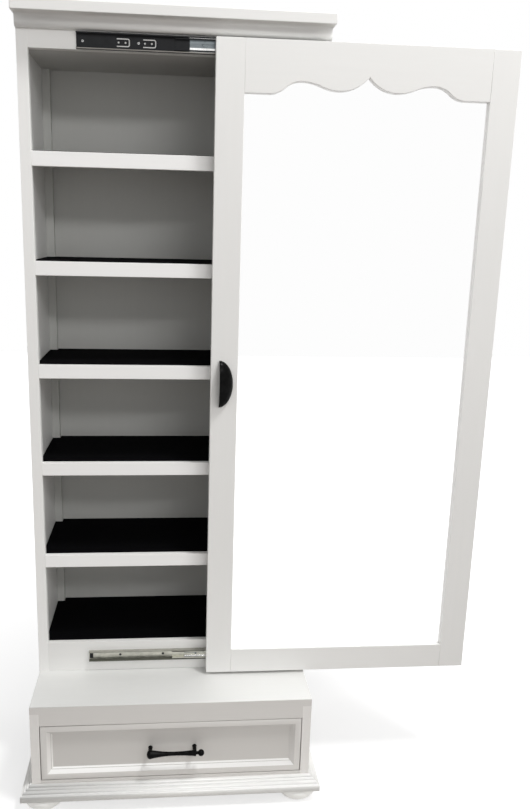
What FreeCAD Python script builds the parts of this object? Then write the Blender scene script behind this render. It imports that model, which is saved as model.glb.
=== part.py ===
import FreeCAD, Part
import math
import os

# Tall shoe cabinet with a full-length mirror on a sliding door, a drawer base and a crown.
# Built with the carcass centred on x = 0, its face frame in the plane y = 0, the front towards
# -y and the floor at z = 0, and shifted at the end to the middle of the whole outline.
# All lengths are millimetres.

V = FreeCAD.Vector

# Carcass
carcass_width = 700.0
carcass_depth = 255.0
side_thickness = 18.0
back_thickness = 5.0
frame_thickness = 20.0
stile_width = 25.0
board_thickness = 18.0
batten_size = 20.0
sill_height = 82.5
head_rail_height = 65.5

# Shelves and their mats
shelf_count = 5
shelf_pitch = 246.0
top_compartment_height = 216.0
lipping_height = 33.0
mat_thickness = 2.0
mat_setback = 12.0
mat_margin = 1.0

# Crown
crown_board_thickness = 22.5
crown_projection = 47.0
crown_side_overhang = 3.0
frieze_height = 26.5
frieze_foot = 4.0
frieze_bulge = 15.0
frieze_cap = 20.0
frieze_quarter = 11.0
frieze_cove = 5.0

# Base box
base_projection = 158.0
base_top_thickness = 20.0
base_side_thickness = 22.0
base_back_thickness = 9.0
base_bottom_thickness = 18.0
base_height = 249.0
drawer_opening_floor = 42.5
drawer_opening_height = 153.1

# Plinth moulding, as steps of projection and height from the top edge down
plinth_projection = 26.0
plinth_band = 14.0
plinth_bead = 3.0
plinth_quirk = 3.0
plinth_step = 2.0
plinth_fall = 4.0
plinth_run = 6.5

# Bun feet
foot_height = 36.0
foot_radius = 52.0
foot_sole_radius = 22.0
foot_neck_radius = 42.0
foot_neck_height = 3.0
foot_belly_height = 26.0
foot_shoulder_radius = 47.0
foot_inset = 52.0

# Drawer
drawer_gap = 2.0
drawer_front_thickness = 20.0
drawer_frame = 15.0
drawer_bevel_run = 10.0
drawer_bevel_depth = 7.5
drawer_bead_run = 5.0
drawer_bead_depth = 3.5
drawer_side_height = 110.0
drawer_side_thickness = 12.0
drawer_bottom_thickness = 6.0
drawer_bottom_rise = 8.0
drawer_rear_clearance = 34.0
drawer_lift = 8.0

# Door
door_side_gap = 2.0
door_head_overlap = 32.1
door_lift = 7.0
door_thickness = 25.0
door_frame = 65.0
door_lip = 10.0
door_rebate = 10.0
glass_thickness = 4.0
door_board_thickness = 9.0
glass_play = 0.5
top_rail_back_height = 60.0

# Scalloped lower edge of the door's top rail, below the door's top and beside its middle
scallop_shoulder = 113.5
scallop_crest = 85.0
scallop_trough = 102.5
scallop_cusp = 70.7
scallop_shoulder_place = 227.0
scallop_crest_place = 153.0
scallop_trough_place = 66.0

# Ball-bearing slides
slide_depth = 12.7
slide_length = 450.0
slide_offset = 6.0
slide_travel_loss = 14.0
top_slide_height = 35.0
bottom_slide_height = 27.0
top_slide_lift = 0.5
bottom_slide_drop = 24.5
slide_wall = 1.2
slide_play = 0.2
slide_lip = 1.3
outer_flange_depth = 10.5
middle_web_place = 2.4
middle_flange_depth = 11.2
inner_flange_place = 5.0
top_ball_radius = 1.6
bottom_ball_radius = 1.3
ball_depth = 6.3
ball_count = 6
ball_play = 0.05
cage_wall = 0.6
cage_length = 170.0
cage_end = 10.0
outer_cage_place = 1.5
inner_cage_place = 3.9
cage_strip_depth = 8.6
stop_offset = 32.0
stop_length = 60.0
stop_wall = 0.8
stop_lip_depth = 4.4
stop_inset = 0.9
rivet_radius = 2.5
rivet_height = 0.4

# Lanced tabs and holes in the web of the top slide, and screw holes of both
tab_length = 29.0
tab_height = 18.0
tab_slot = 2.6
tab_radius = 5.0
tab_hole_radius = 2.2
tab_hole_back = 10.4
tab_hole_fore = 4.9
tab_place_shares = (0.229, 0.358, 0.642, 0.771)
top_hole_shares = (0.031, 0.304, 0.696, 0.969)
bottom_hole_shares = (0.18, 0.43, 0.57, 0.82)
door_hole_shares = (0.1, 0.5, 0.9)
screw_head_radius = 3.3
screw_radius = 1.8
screw_length = 14.0

# Drawer slides, of two members each
runner_end_play = 10.0
runner_height = 35.0
runner_setback = 4.0
runner_lift = 55.0
runner_flange_place = 2.4
runner_cage_length = 90.0
runner_ball_count = 4

# Cup pull on the door
cup_height = 115.0
cup_width = 34.0
cup_projection = 24.0
cup_wall = 2.2
cup_inset = 20.0
cup_boss_radius = 4.0
cup_boss_place = 40.0
cup_boss_inset = 11.0

# Bar pull on the drawer
pull_post_spacing = 111.0
pull_post_radius = 5.0
pull_post_foot_radius = 6.2
pull_post_foot_height = 3.0
pull_reach = 27.0
pull_butt_radius = 11.0
pull_butt_reach = 8.5
pull_waist_radius = 4.8
pull_waist_place = 7.0
pull_tail_radius = 7.8
pull_tail_reach = 2.5
pull_neck_radius = 4.0
pull_neck_length = 6.0
pull_ball_radius = 8.2
pull_rise = -1.0
pull_hollow_share = 0.3
pull_screw_radius = 2.0
pull_screw_depth = 8.0
pull_screw_head_radius = 4.0
pull_screw_head_height = 2.5

# Edge rounding of the painted boards, and how far a cut runs past the face it opens
edge_round = 1.5
fine_round = 0.6
overrun = 5.0
unit_radius = 1.0

# Places worked out from the sizes above
half_width = carcass_width / 2
inner_half = half_width - side_thickness
frame_half = half_width - stile_width
back_face = carcass_depth - back_thickness
plinth_height = (plinth_band + plinth_bead + plinth_fall * 2 + plinth_step * 3
                 + plinth_quirk)
base_floor = foot_height
base_top = base_floor + base_height
base_front = -base_projection
sill_top = base_top + sill_height
opening_height = shelf_count * shelf_pitch + top_compartment_height
head_floor = sill_top + opening_height
crown_floor = head_floor + head_rail_height
cabinet_top = crown_floor + crown_board_thickness
base_half_clear = half_width - base_side_thickness
drawer_floor = base_floor + drawer_opening_floor
drawer_ceiling = drawer_floor + drawer_opening_height
door_floor = base_top + door_lift
door_top = head_floor + door_head_overlap
door_half = half_width - door_side_gap
door_travel = slide_length - slide_travel_loss
door_back = -slide_depth
door_front = door_back - door_thickness
lip_back = door_front + door_lip
glass_back = lip_back + glass_thickness
glass_floor = door_floor + door_frame - door_rebate
glass_top = door_top - top_rail_back_height
glass_half = door_half - door_frame + door_rebate
slide_start = slide_offset - slide_length / 2
top_slide_axis = head_floor + top_slide_lift + top_slide_height / 2
bottom_slide_axis = sill_top - bottom_slide_drop - bottom_slide_height / 2
top_hole_places = [share * slide_length for share in top_hole_shares]
bottom_hole_places = [share * slide_length for share in bottom_hole_shares]
door_hole_places = [share * slide_length for share in door_hole_shares]
pull_axis = (drawer_floor + drawer_ceiling) / 2 + pull_rise
panel_face = base_front + drawer_bevel_depth + drawer_bead_depth
drawer_length = (carcass_depth - base_back_thickness - base_front - drawer_front_thickness
                 - drawer_rear_clearance)
runner_length = drawer_length - runner_end_play
runner_axis = drawer_floor + drawer_lift + runner_lift
runner_start = base_front + frame_thickness + runner_setback

nodes = {}


def add(name, *solids):
    """Keep the solids of one named sub-part."""
    nodes[name] = list(solids)


def box(x0, x1, y0, y1, z0, z1):
    """A board between two corners."""
    return Part.makeBox(x1 - x0, y1 - y0, z1 - z0, V(x0, y0, z0))


def prism(points, run):
    """A straight-sided outline pushed along a vector."""
    return Part.Face(Part.makePolygon(points + [points[0]])).extrude(run)


def rounded(shape, radius, test):
    """The shape with the edges rounded whose middle point passes the test."""
    chosen = []
    for edge in shape.Edges:
        middle = edge.valueAt((edge.FirstParameter + edge.LastParameter) / 2)
        if test(middle, edge):
            chosen.append(edge)
    return shape.makeFillet(radius, chosen) if chosen else shape


def near(a, b):
    """Whether two places are the same."""
    return abs(a - b) < fine_round / 10


def mirrored(shape):
    """The same piece on the other side of the middle plane."""
    return shape.mirror(V(0, 0, 0), V(1, 0, 0))


def moved(shape, dx=0, dy=0, dz=0):
    """A copy of the shape at another place."""
    copy = shape.copy()
    copy.translate(V(dx, dy, dz))
    return copy


def front_board(x0, x1, y0, y1, z0, z1, radius=fine_round):
    """A board whose long front edges are rounded."""
    board = box(x0, x1, y0, y1, z0, z1)
    return rounded(board, radius, lambda m, e: near(m.y, y0))


# Upper carcass
def carcass():
    side = box(-half_width, -inner_half, frame_thickness, carcass_depth, base_top, crown_floor)
    add("side_panel_left", side)
    add("side_panel_right", mirrored(side))
    add("back_panel", box(-inner_half, inner_half, back_face, carcass_depth, base_top,
                          crown_floor))
    batten = box(-inner_half, batten_size - inner_half, back_face - batten_size, back_face,
                 sill_top, head_floor)
    add("rear_corner_battens", batten, mirrored(batten))
    add("floor_panel", box(-inner_half, inner_half, frame_thickness, back_face,
                           sill_top - board_thickness, sill_top))
    add("ceiling_panel", box(-inner_half, inner_half, frame_thickness, back_face, head_floor,
                             head_floor + board_thickness))
    stile = box(-half_width, -frame_half, 0, frame_thickness, base_top, crown_floor)
    stile = rounded(stile, edge_round, lambda m, e: near(m.y, 0) and near(m.x, -half_width))
    stile = rounded(stile, fine_round, lambda m, e: near(m.y, 0) and near(m.x, -frame_half))
    add("face_stile_left", stile)
    add("face_stile_right", mirrored(stile))
    sill = front_board(-frame_half, frame_half, 0, frame_thickness, base_top, sill_top)
    add("sill_rail", sill.cut(bores(bottom_hole_places, bottom_slide_axis, 0, screw_length)))
    head = front_board(-frame_half, frame_half, 0, frame_thickness, head_floor, crown_floor)
    add("head_rail", head.cut(bores(top_hole_places, top_slide_axis, 0, screw_length)))


def bores(places, level, face, depth, start=slide_start, radius=screw_radius):
    """Screw holes along a slide, drilled back from a face."""
    holes = [Part.makeCylinder(radius, depth, V(start + place, face, level), V(0, 1, 0))
             for place in places]
    return Part.makeCompound(holes)


def shelf_level(number):
    """Top of a shelf, counted from the top one down."""
    return sill_top + (shelf_count + 1 - number) * shelf_pitch


def mat(level):
    """A mat on a shelf, cut round the face stiles and the rear battens."""
    front_half = frame_half - mat_margin
    wide = inner_half - mat_margin
    notch = inner_half - batten_size - mat_margin
    front = frame_thickness + mat_margin
    notch_front = back_face - batten_size - mat_margin
    back = back_face - mat_margin
    right = [(front_half, mat_setback), (front_half, front), (wide, front), (wide, notch_front),
             (notch, notch_front), (notch, back)]
    left = [(-x, y) for x, y in reversed(right)]
    return prism([V(x, y, level) for x, y in right + left], V(0, 0, mat_thickness))


def shelves():
    lippings = []
    mats = [mat(sill_top)]
    for number in range(1, shelf_count + 1):
        level = shelf_level(number)
        board = box(-inner_half, inner_half, frame_thickness, back_face,
                    level - board_thickness, level)
        corner = box(-inner_half, batten_size - inner_half, back_face - batten_size, back_face,
                     level - board_thickness, level)
        add("shelf_%d" % number, board.cut(corner).cut(mirrored(corner)))
        lippings.append(front_board(-frame_half, frame_half, 0, frame_thickness,
                                    level - lipping_height, level))
        mats.append(mat(level))
    add("shelf_lippings", *lippings)
    add("shelf_mats", *mats)


# Crown
def crown():
    reach = half_width + crown_side_overhang
    board = box(-reach, reach, -crown_projection, carcass_depth, crown_floor, cabinet_top)
    add("crown_board", rounded(board, edge_round,
                               lambda m, e: m.y < 0 or (near(abs(m.x), reach)
                                                        and e.Length > carcass_depth)))
    floor = crown_floor - frieze_height
    bulge_top = floor + frieze_quarter
    cove_floor = crown_floor - frieze_cove
    low = V(frieze_foot, 0, floor)
    swell = V(frieze_bulge, 0, bulge_top)
    hollow = V(frieze_bulge, 0, cove_floor)
    cap = V(frieze_cap, 0, crown_floor)
    root = V(0, 0, floor)
    back = V(0, 0, crown_floor)
    edges = [Part.LineSegment(root, low).toShape(),
             upright_arc(swell, low).toShape(),
             Part.LineSegment(swell, hollow).toShape(),
             upright_arc(hollow, cap).toShape(),
             Part.LineSegment(cap, back).toShape(),
             Part.LineSegment(back, root).toShape()]
    frieze = Part.Face(Part.Wire(edges)).extrude(V(0, carcass_width, 0))
    frieze.rotate(V(0, 0, 0), V(0, 0, 1), -90)
    add("crown_frieze", moved(frieze, dx=-half_width))


def upright_arc(upright_end, other_end):
    """An arc that leaves its first end upright and passes through its second."""
    run = other_end.x - upright_end.x
    rise = other_end.z - upright_end.z
    radius = (run * run + rise * rise) / (2 * abs(run))
    turn = math.atan2(abs(rise), radius - abs(run)) / 2
    middle = V(upright_end.x + math.copysign(radius * (1 - math.cos(turn)), run), 0,
               upright_end.z + math.copysign(radius * math.sin(turn), rise))
    return Part.Arc(upright_end, middle, other_end)


# Base box, plinth moulding and feet
def base():
    top = box(-half_width, half_width, base_front, carcass_depth,
              base_top - base_top_thickness, base_top)
    add("base_top", rounded(top, edge_round,
                            lambda m, e: near(m.z, base_top) and near(m.y, base_front)))
    box_top = base_top - base_top_thickness
    behind = base_front + frame_thickness
    side = box(-half_width, -base_half_clear, behind, carcass_depth, base_floor, box_top)
    add("base_side_left", side)
    add("base_side_right", mirrored(side))
    back_front = carcass_depth - base_back_thickness
    add("base_back", box(-base_half_clear, base_half_clear, back_front, carcass_depth,
                         base_floor, box_top))
    add("base_bottom", box(-base_half_clear, base_half_clear, behind, back_front, base_floor,
                           base_floor + base_bottom_thickness))
    stile = box(-half_width, -base_half_clear, base_front, behind, base_floor, box_top)
    stile = rounded(stile, fine_round, lambda m, e: near(m.y, base_front)
                    and near(m.x, -base_half_clear))
    add("base_stiles", stile, mirrored(stile))
    add("base_bottom_rail", box(-base_half_clear, base_half_clear, base_front, behind,
                                base_floor, drawer_floor))
    add("base_top_rail", box(-base_half_clear, base_half_clear, base_front, behind,
                             drawer_ceiling, box_top))


def plinth_outline():
    """Projection and height of the moulding's section, from the floor of the base up."""
    reach = plinth_projection
    level = base_floor
    points = [(0, level), (reach, level)]
    level += plinth_band
    points.append((reach, level))
    reach -= plinth_bead
    level += plinth_bead
    points.append((reach, level))
    reach -= plinth_quirk
    points.append((reach, level))
    level += plinth_quirk
    points.append((reach, level))
    for fall in (plinth_fall, plinth_step):
        reach -= plinth_run
        level += fall
        points.append((reach, level))
        level += plinth_step
        points.append((reach, level))
    points.append((0, base_floor + plinth_height))
    return points


def plinth():
    reach = plinth_projection
    outer = half_width + reach
    outline = plinth_outline()
    top = base_floor + plinth_height
    front = prism([V(-outer, base_front - out, level) for out, level in outline],
                  V(2 * outer, 0, 0))
    corner = [V(-half_width, base_front, base_floor), V(half_width, base_front, base_floor),
              V(outer, base_front - reach, base_floor), V(-outer, base_front - reach, base_floor)]
    add("plinth_moulding_front", front.common(prism(corner, V(0, 0, top - base_floor))))
    run = carcass_depth - base_front + reach
    side = prism([V(-half_width - out, base_front - reach, level) for out, level in outline],
                 V(0, run, 0))
    plan = [V(-half_width, base_front, base_floor),
            V(-outer, base_front - reach, base_floor),
            V(-outer, carcass_depth, base_floor), V(-half_width, carcass_depth, base_floor)]
    side = side.common(prism(plan, V(0, 0, top - base_floor)))
    add("plinth_moulding_returns", side, mirrored(side))


def foot():
    """A turned bun foot standing on the floor at the origin."""
    belly = V(foot_radius, 0, foot_belly_height)
    sole = V(foot_sole_radius, 0, 0)
    shoulder = V(foot_shoulder_radius, 0, foot_height - foot_neck_height)
    neck = V(foot_neck_radius, 0, foot_height)
    axis_low = V(0, 0, 0)
    axis_high = V(0, 0, foot_height)
    edges = [Part.LineSegment(axis_low, sole).toShape(),
             upright_arc(belly, sole).toShape(),
             upright_arc(belly, shoulder).toShape(),
             Part.LineSegment(shoulder, neck).toShape(),
             Part.LineSegment(neck, axis_high).toShape(),
             Part.LineSegment(axis_high, axis_low).toShape()]
    return Part.Face(Part.Wire(edges)).revolve(axis_low, V(0, 0, 1), 360)


def feet():
    place_x = half_width + plinth_projection - foot_inset
    places_y = (base_front - plinth_projection + foot_inset, carcass_depth - foot_inset)
    add("bun_feet", *[moved(foot(), dx=side * place_x, dy=y) for side in (-1, 1)
                      for y in places_y])


# Drawer
def rectangle(inset, y, half, low, high):
    """An upright rectangle drawn inside the drawer's face."""
    return Part.makePolygon([V(-half + inset, y, low + inset), V(half - inset, y, low + inset),
                             V(half - inset, y, high - inset), V(-half + inset, y, high - inset),
                             V(-half + inset, y, low + inset)])


def drawer():
    half = base_half_clear - drawer_gap
    low = drawer_floor + drawer_gap
    high = drawer_ceiling - drawer_gap
    behind = base_front + drawer_front_thickness
    front = box(-half, half, base_front, behind, low, high)
    front = rounded(front, fine_round, lambda m, e: near(m.y, base_front))
    bevel = drawer_frame + drawer_bevel_run
    bead = bevel + drawer_bead_run
    step_face = base_front + drawer_bevel_depth
    shelf_cut = Part.makeLoft([rectangle(drawer_frame, base_front, half, low, high),
                               rectangle(bevel, step_face, half, low, high)], True, True)
    bead_cut = Part.makeLoft([rectangle(bevel, step_face, half, low, high),
                              rectangle(bead, panel_face, half, low, high)], True, True)
    mouth = box(drawer_frame - half, half - drawer_frame, base_front - overrun, base_front,
                low + drawer_frame, high - drawer_frame)
    front = front.cut(shelf_cut).cut(bead_cut).cut(mouth)
    for side in (-1, 1):
        place = V(side * pull_post_spacing / 2, base_front, pull_axis)
        front = front.cut(Part.makeCylinder(pull_screw_radius, drawer_front_thickness, place,
                                            V(0, 1, 0)))
    add("drawer_front", front)
    box_half = base_half_clear - slide_depth
    inner = box_half - drawer_side_thickness
    floor = low + drawer_lift
    end = behind + drawer_length
    side = box(-box_half, -inner, behind, end, floor, floor + drawer_side_height)
    add("drawer_side_left", side)
    add("drawer_side_right", mirrored(side))
    add("drawer_box_back", box(-inner, inner, end - drawer_side_thickness, end,
                               floor + drawer_bottom_rise, floor + drawer_side_height))
    add("drawer_bottom", box(-inner, inner, behind, end - drawer_side_thickness,
                             floor + drawer_bottom_rise,
                             floor + drawer_bottom_rise + drawer_bottom_thickness))


def drawer_pull():
    """A turned bar with a flared butt on the left, a waist, and a ball on the right."""
    reach = pull_reach
    left = -pull_post_spacing / 2
    right = pull_post_spacing / 2
    butt_end = left - pull_butt_reach
    tail_end = right + pull_tail_reach
    ball_start = tail_end + pull_neck_length
    ball_centre = ball_start + math.sqrt(pull_ball_radius ** 2 - pull_neck_radius ** 2)
    waist = V(pull_waist_place, 0, pull_waist_radius)
    profile = [Part.Arc(V(butt_end, 0, 0),
                        V(butt_end + pull_butt_reach * (1 - math.sqrt(0.5)), 0,
                          pull_butt_radius * math.sqrt(0.5)),
                        V(left, 0, pull_butt_radius)).toShape()]
    half_left = V((left + pull_waist_place) / 2, 0,
                  pull_waist_radius + (pull_butt_radius - pull_waist_radius) * pull_hollow_share)
    profile.append(Part.Arc(V(left, 0, pull_butt_radius), half_left, waist).toShape())
    half_right = V((pull_waist_place + tail_end) / 2, 0,
                   pull_waist_radius + (pull_tail_radius - pull_waist_radius) * pull_hollow_share)
    profile.append(Part.Arc(waist, half_right, V(tail_end, 0, pull_tail_radius)).toShape())
    profile.append(Part.LineSegment(V(tail_end, 0, pull_tail_radius),
                                    V(tail_end, 0, pull_neck_radius)).toShape())
    profile.append(Part.LineSegment(V(tail_end, 0, pull_neck_radius),
                                    V(ball_start, 0, pull_neck_radius)).toShape())
    profile.append(Part.Arc(V(ball_start, 0, pull_neck_radius),
                            V(ball_centre, 0, pull_ball_radius),
                            V(ball_centre + pull_ball_radius, 0, 0)).toShape())
    profile.append(Part.LineSegment(V(ball_centre + pull_ball_radius, 0, 0),
                                    V(butt_end, 0, 0)).toShape())
    bar = Part.Face(Part.Wire(profile)).revolve(V(0, 0, 0), V(1, 0, 0), 360)
    pull = moved(bar, dy=panel_face - reach, dz=pull_axis)
    screws = []
    for place in (left, right):
        root = V(place, panel_face, pull_axis)
        post = Part.makeCylinder(pull_post_radius, reach, root, V(0, -1, 0))
        flare = Part.makeCone(pull_post_foot_radius, pull_post_radius, pull_post_foot_height,
                              root, V(0, -1, 0))
        hole = Part.makeCylinder(pull_screw_radius, pull_screw_depth, root, V(0, -1, 0))
        pull = pull.fuse(post).fuse(flare).cut(hole)
        behind = base_front + drawer_front_thickness
        shank = Part.makeCylinder(pull_screw_radius, behind - panel_face + pull_screw_depth,
                                  V(place, behind, pull_axis), V(0, -1, 0))
        head = Part.makeCylinder(pull_screw_head_radius, pull_screw_head_height,
                                 V(place, behind, pull_axis), V(0, 1, 0))
        screws.append(shank.fuse(head))
    add("drawer_pull", pull.removeSplitter())
    add("drawer_pull_screws", *screws)


# Ball-bearing slides, drawn with the run along +x, the depth along -y and the height along z
class Slide:
    """Levels of one slide's section, from its height and its ball."""

    def __init__(self, height, ball_radius):
        self.half = height / 2
        self.ball = ball_radius
        self.outer_ball = self.half - slide_wall - slide_play - ball_radius
        self.middle_half = self.outer_ball - ball_radius - slide_play
        self.inner_ball = self.middle_half - slide_wall - slide_play - ball_radius
        self.inner_half = self.inner_ball - ball_radius - slide_play


def channel(half, back, depth, length, lip):
    """A channel open to the front, its flanges turned in at their front edges."""
    wall = slide_wall
    upper = [(back, half), (depth, half), (depth, half - wall - lip),
             (depth - wall, half - wall - lip), (depth - wall, half - wall),
             (back + wall, half - wall)]
    lower = [(out, -level) for out, level in reversed(upper)]
    return prism([V(0, -out, level) for out, level in upper + lower], V(length, 0, 0))


def outer_member(slide, length, holes, tabs=()):
    member = channel(slide.half, 0, outer_flange_depth, length, slide_lip)
    for place in holes:
        member = member.cut(Part.makeCylinder(screw_head_radius, slide_wall, V(place, 0, 0),
                                              V(0, -1, 0)))
    for place in tabs:
        member = member.cut(tab_slots(place))
    return member


def tab_slots(place):
    """A lanced tab's bent slot, open on its left, and the two holes inside it."""
    half_long = tab_length / 2
    half_tall = tab_height / 2
    outer = box(-half_long, half_long, -slide_wall, 0, -half_tall, half_tall)
    outer = rounded(outer, tab_radius, lambda m, e: near(m.x, half_long) and e.Length < tab_slot)
    inner = box(-half_long, half_long - tab_slot, -slide_wall, 0, tab_slot - half_tall,
                half_tall - tab_slot)
    inner = rounded(inner, tab_radius - tab_slot,
                    lambda m, e: near(m.x, half_long - tab_slot) and e.Length < tab_slot)
    cuts = [outer.cut(inner)]
    for offset in (-tab_hole_back, tab_hole_fore):
        cuts.append(Part.makeCylinder(tab_hole_radius, slide_wall, V(offset, 0, 0), V(0, -1, 0)))
    return moved(Part.makeCompound(cuts), dx=place)


def middle_member(slide, length):
    return channel(slide.middle_half, middle_web_place, middle_flange_depth, length,
                   slide_lip / 2)


def inner_member(half, flange_place, length, holes):
    wall = slide_wall
    outline = [(flange_place, half), (slide_depth, half), (slide_depth, -half),
               (flange_place, -half), (flange_place, wall - half),
               (slide_depth - wall, wall - half), (slide_depth - wall, half - wall),
               (flange_place, half - wall)]
    member = prism([V(0, -out, level) for out, level in outline], V(length, 0, 0))
    for place in holes:
        member = member.cut(Part.makeCylinder(screw_head_radius, wall,
                                              V(place, wall - slide_depth, 0), V(0, -1, 0)))
    return member


def ball_cage(ball_level, ball_radius, back, length=cage_length, count=ball_count):
    """A retainer strip on each side, joined by a plate, and the balls it carries."""
    top = ball_level + cage_wall / 2
    wall = cage_wall
    outline = [(back, top), (cage_strip_depth, top), (cage_strip_depth, top - wall),
               (back + wall, top - wall), (back + wall, wall - top),
               (cage_strip_depth, wall - top), (cage_strip_depth, -top), (back, -top)]
    cage = prism([V(0, -out, level) for out, level in outline], V(length, 0, 0))
    balls = []
    pitch = (length - 2 * cage_end) / (count - 1)
    for side in (-1, 1):
        for number in range(count):
            centre = V(cage_end + number * pitch, -ball_depth, side * ball_level)
            cage = cage.cut(Part.makeSphere(ball_radius + ball_play, centre))
            balls.append(Part.makeSphere(ball_radius, centre))
    return [cage] + balls


def stop_clip(slide):
    """The stamped stop riveted to the web of a middle member."""
    half = slide.middle_half - slide_wall - stop_inset
    back = middle_web_place + slide_wall
    depth = back + stop_lip_depth
    wall = stop_wall
    outline = [(back, half), (depth, half), (depth, half - wall), (back + wall, half - wall),
               (back + wall, wall - half), (depth, wall - half), (depth, -half), (back, -half)]
    clip = prism([V(0, -out, level) for out, level in outline], V(stop_length, 0, 0))
    rivet = Part.makeCylinder(rivet_radius, rivet_height,
                              V(stop_length / 2, -back - wall, 0), V(0, -1, 0))
    return clip.fuse(rivet)


def screw(depth, tail, place, level, start):
    """A flush screw along a slide, its head in the web and its shank in the wood."""
    axis = V(0, 1, 0) if tail > depth else V(0, -1, 0)
    head = Part.makeCylinder(screw_head_radius, slide_wall,
                             V(start + place, depth, level), axis)
    shank = Part.makeCylinder(screw_radius, abs(tail - depth),
                              V(start + place, depth, level), axis)
    return head.fuse(shank)


def door_slides():
    """The two slides that carry the door, drawn with the door fully open."""
    half_travel = door_travel / 2
    middle_start = slide_start + half_travel
    inner_start = slide_start + door_travel
    cage_rest = (slide_length - cage_length) / 2
    outer_cages = []
    inner_cages = []
    stops = []
    cabinet_screws = []
    door_screws = []
    tab_places = [share * slide_length for share in tab_place_shares]
    for name, height, ball, level, holes, tabs in (
            ("top", top_slide_height, top_ball_radius, top_slide_axis, top_hole_places,
             tab_places),
            ("bottom", bottom_slide_height, bottom_ball_radius, bottom_slide_axis,
             bottom_hole_places, ())):
        slide = Slide(height, ball)
        add(name + "_slide_outer",
            moved(outer_member(slide, slide_length, holes, tabs), dx=slide_start, dz=level))
        add(name + "_slide_middle",
            moved(middle_member(slide, slide_length), dx=middle_start, dz=level))
        add(name + "_slide_inner",
            moved(inner_member(slide.inner_half, inner_flange_place, slide_length,
                               door_hole_places), dx=inner_start, dz=level))
        for solid in ball_cage(slide.outer_ball, ball, outer_cage_place):
            outer_cages.append(moved(solid, dx=slide_start + cage_rest + half_travel / 2,
                                     dz=level))
        for solid in ball_cage(slide.inner_ball, ball, inner_cage_place):
            inner_cages.append(moved(solid, dx=middle_start + cage_rest + half_travel / 2,
                                     dz=level))
        stops.append(moved(stop_clip(slide), dx=middle_start + stop_offset, dz=level))
        for place in holes:
            cabinet_screws.append(screw(-slide_wall, screw_length, place, level, slide_start))
        for place in door_hole_places:
            door_screws.append(screw(slide_wall - slide_depth, -slide_depth - screw_length,
                                     place, level, inner_start))
    add("outer_ball_cages", *outer_cages)
    add("inner_ball_cages", *inner_cages)
    add("slide_stop_clips", *stops)
    add("slide_screws_cabinet", *cabinet_screws)
    add("slide_screws_door", *door_screws)


def drawer_runners():
    """A two-member slide on each side of the drawer, drawn closed."""
    slide = Slide(runner_height, top_ball_radius)
    outer = outer_member(slide, runner_length, ())
    inner = inner_member(slide.middle_half, runner_flange_place, runner_length, ())
    cage = ball_cage(slide.outer_ball, top_ball_radius, outer_cage_place, runner_cage_length,
                     runner_ball_count)
    cage = [moved(solid, dx=(runner_length - runner_cage_length) / 2) for solid in cage]
    for name, solids in (("drawer_slide_outers", [outer]), ("drawer_slide_cages", cage),
                         ("drawer_slide_inners", [inner])):
        left = []
        for solid in solids:
            solid.rotate(V(0, 0, 0), V(0, 0, 1), 90)
            left.append(moved(solid, dx=-base_half_clear, dy=runner_start, dz=runner_axis))
        add(name, *left, *[mirrored(solid) for solid in left])


# Door, drawn closed and moved to its open place
def opened(shape):
    return moved(shape, dx=door_travel)


def scallop(top):
    """The scalloped lower edge of the top rail, from its left end to its right end."""
    shoulder = top - scallop_shoulder
    crest = top - scallop_crest
    trough = top - scallop_trough
    cusp = top - scallop_cusp
    end = door_half - door_frame
    rise_place = (scallop_shoulder_place + scallop_crest_place) / 2
    rise_level = (shoulder + crest) / 2
    fall_place = (scallop_crest_place + scallop_trough_place) / 2
    fall_level = (crest + trough) / 2
    half = [Part.LineSegment(V(end, 0, shoulder), V(scallop_shoulder_place, 0, shoulder))]
    half.append(tangent_arc(V(scallop_shoulder_place, 0, shoulder), V(rise_place, 0, rise_level)))
    half.append(tangent_arc(V(scallop_crest_place, 0, crest), V(rise_place, 0, rise_level)))
    half.append(tangent_arc(V(scallop_crest_place, 0, crest), V(fall_place, 0, fall_level)))
    half.append(tangent_arc(V(scallop_trough_place, 0, trough), V(fall_place, 0, fall_level)))
    half.append(tangent_arc(V(scallop_trough_place, 0, trough), V(0, 0, cusp)))
    right = [curve.toShape() for curve in half]
    left = [mirrored(edge) for edge in right]
    return left + right


def tangent_arc(level_end, other_end):
    """An arc that leaves its first end level and passes through its second."""
    run = other_end.x - level_end.x
    rise = other_end.z - level_end.z
    radius = (run * run + rise * rise) / (2 * abs(rise))
    turn = math.atan2(abs(run), radius - abs(rise)) / 2
    middle = V(level_end.x + math.copysign(radius * math.sin(turn), run), 0,
               level_end.z + math.copysign(radius * (1 - math.cos(turn)), rise))
    return Part.Arc(level_end, middle, other_end)


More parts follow.
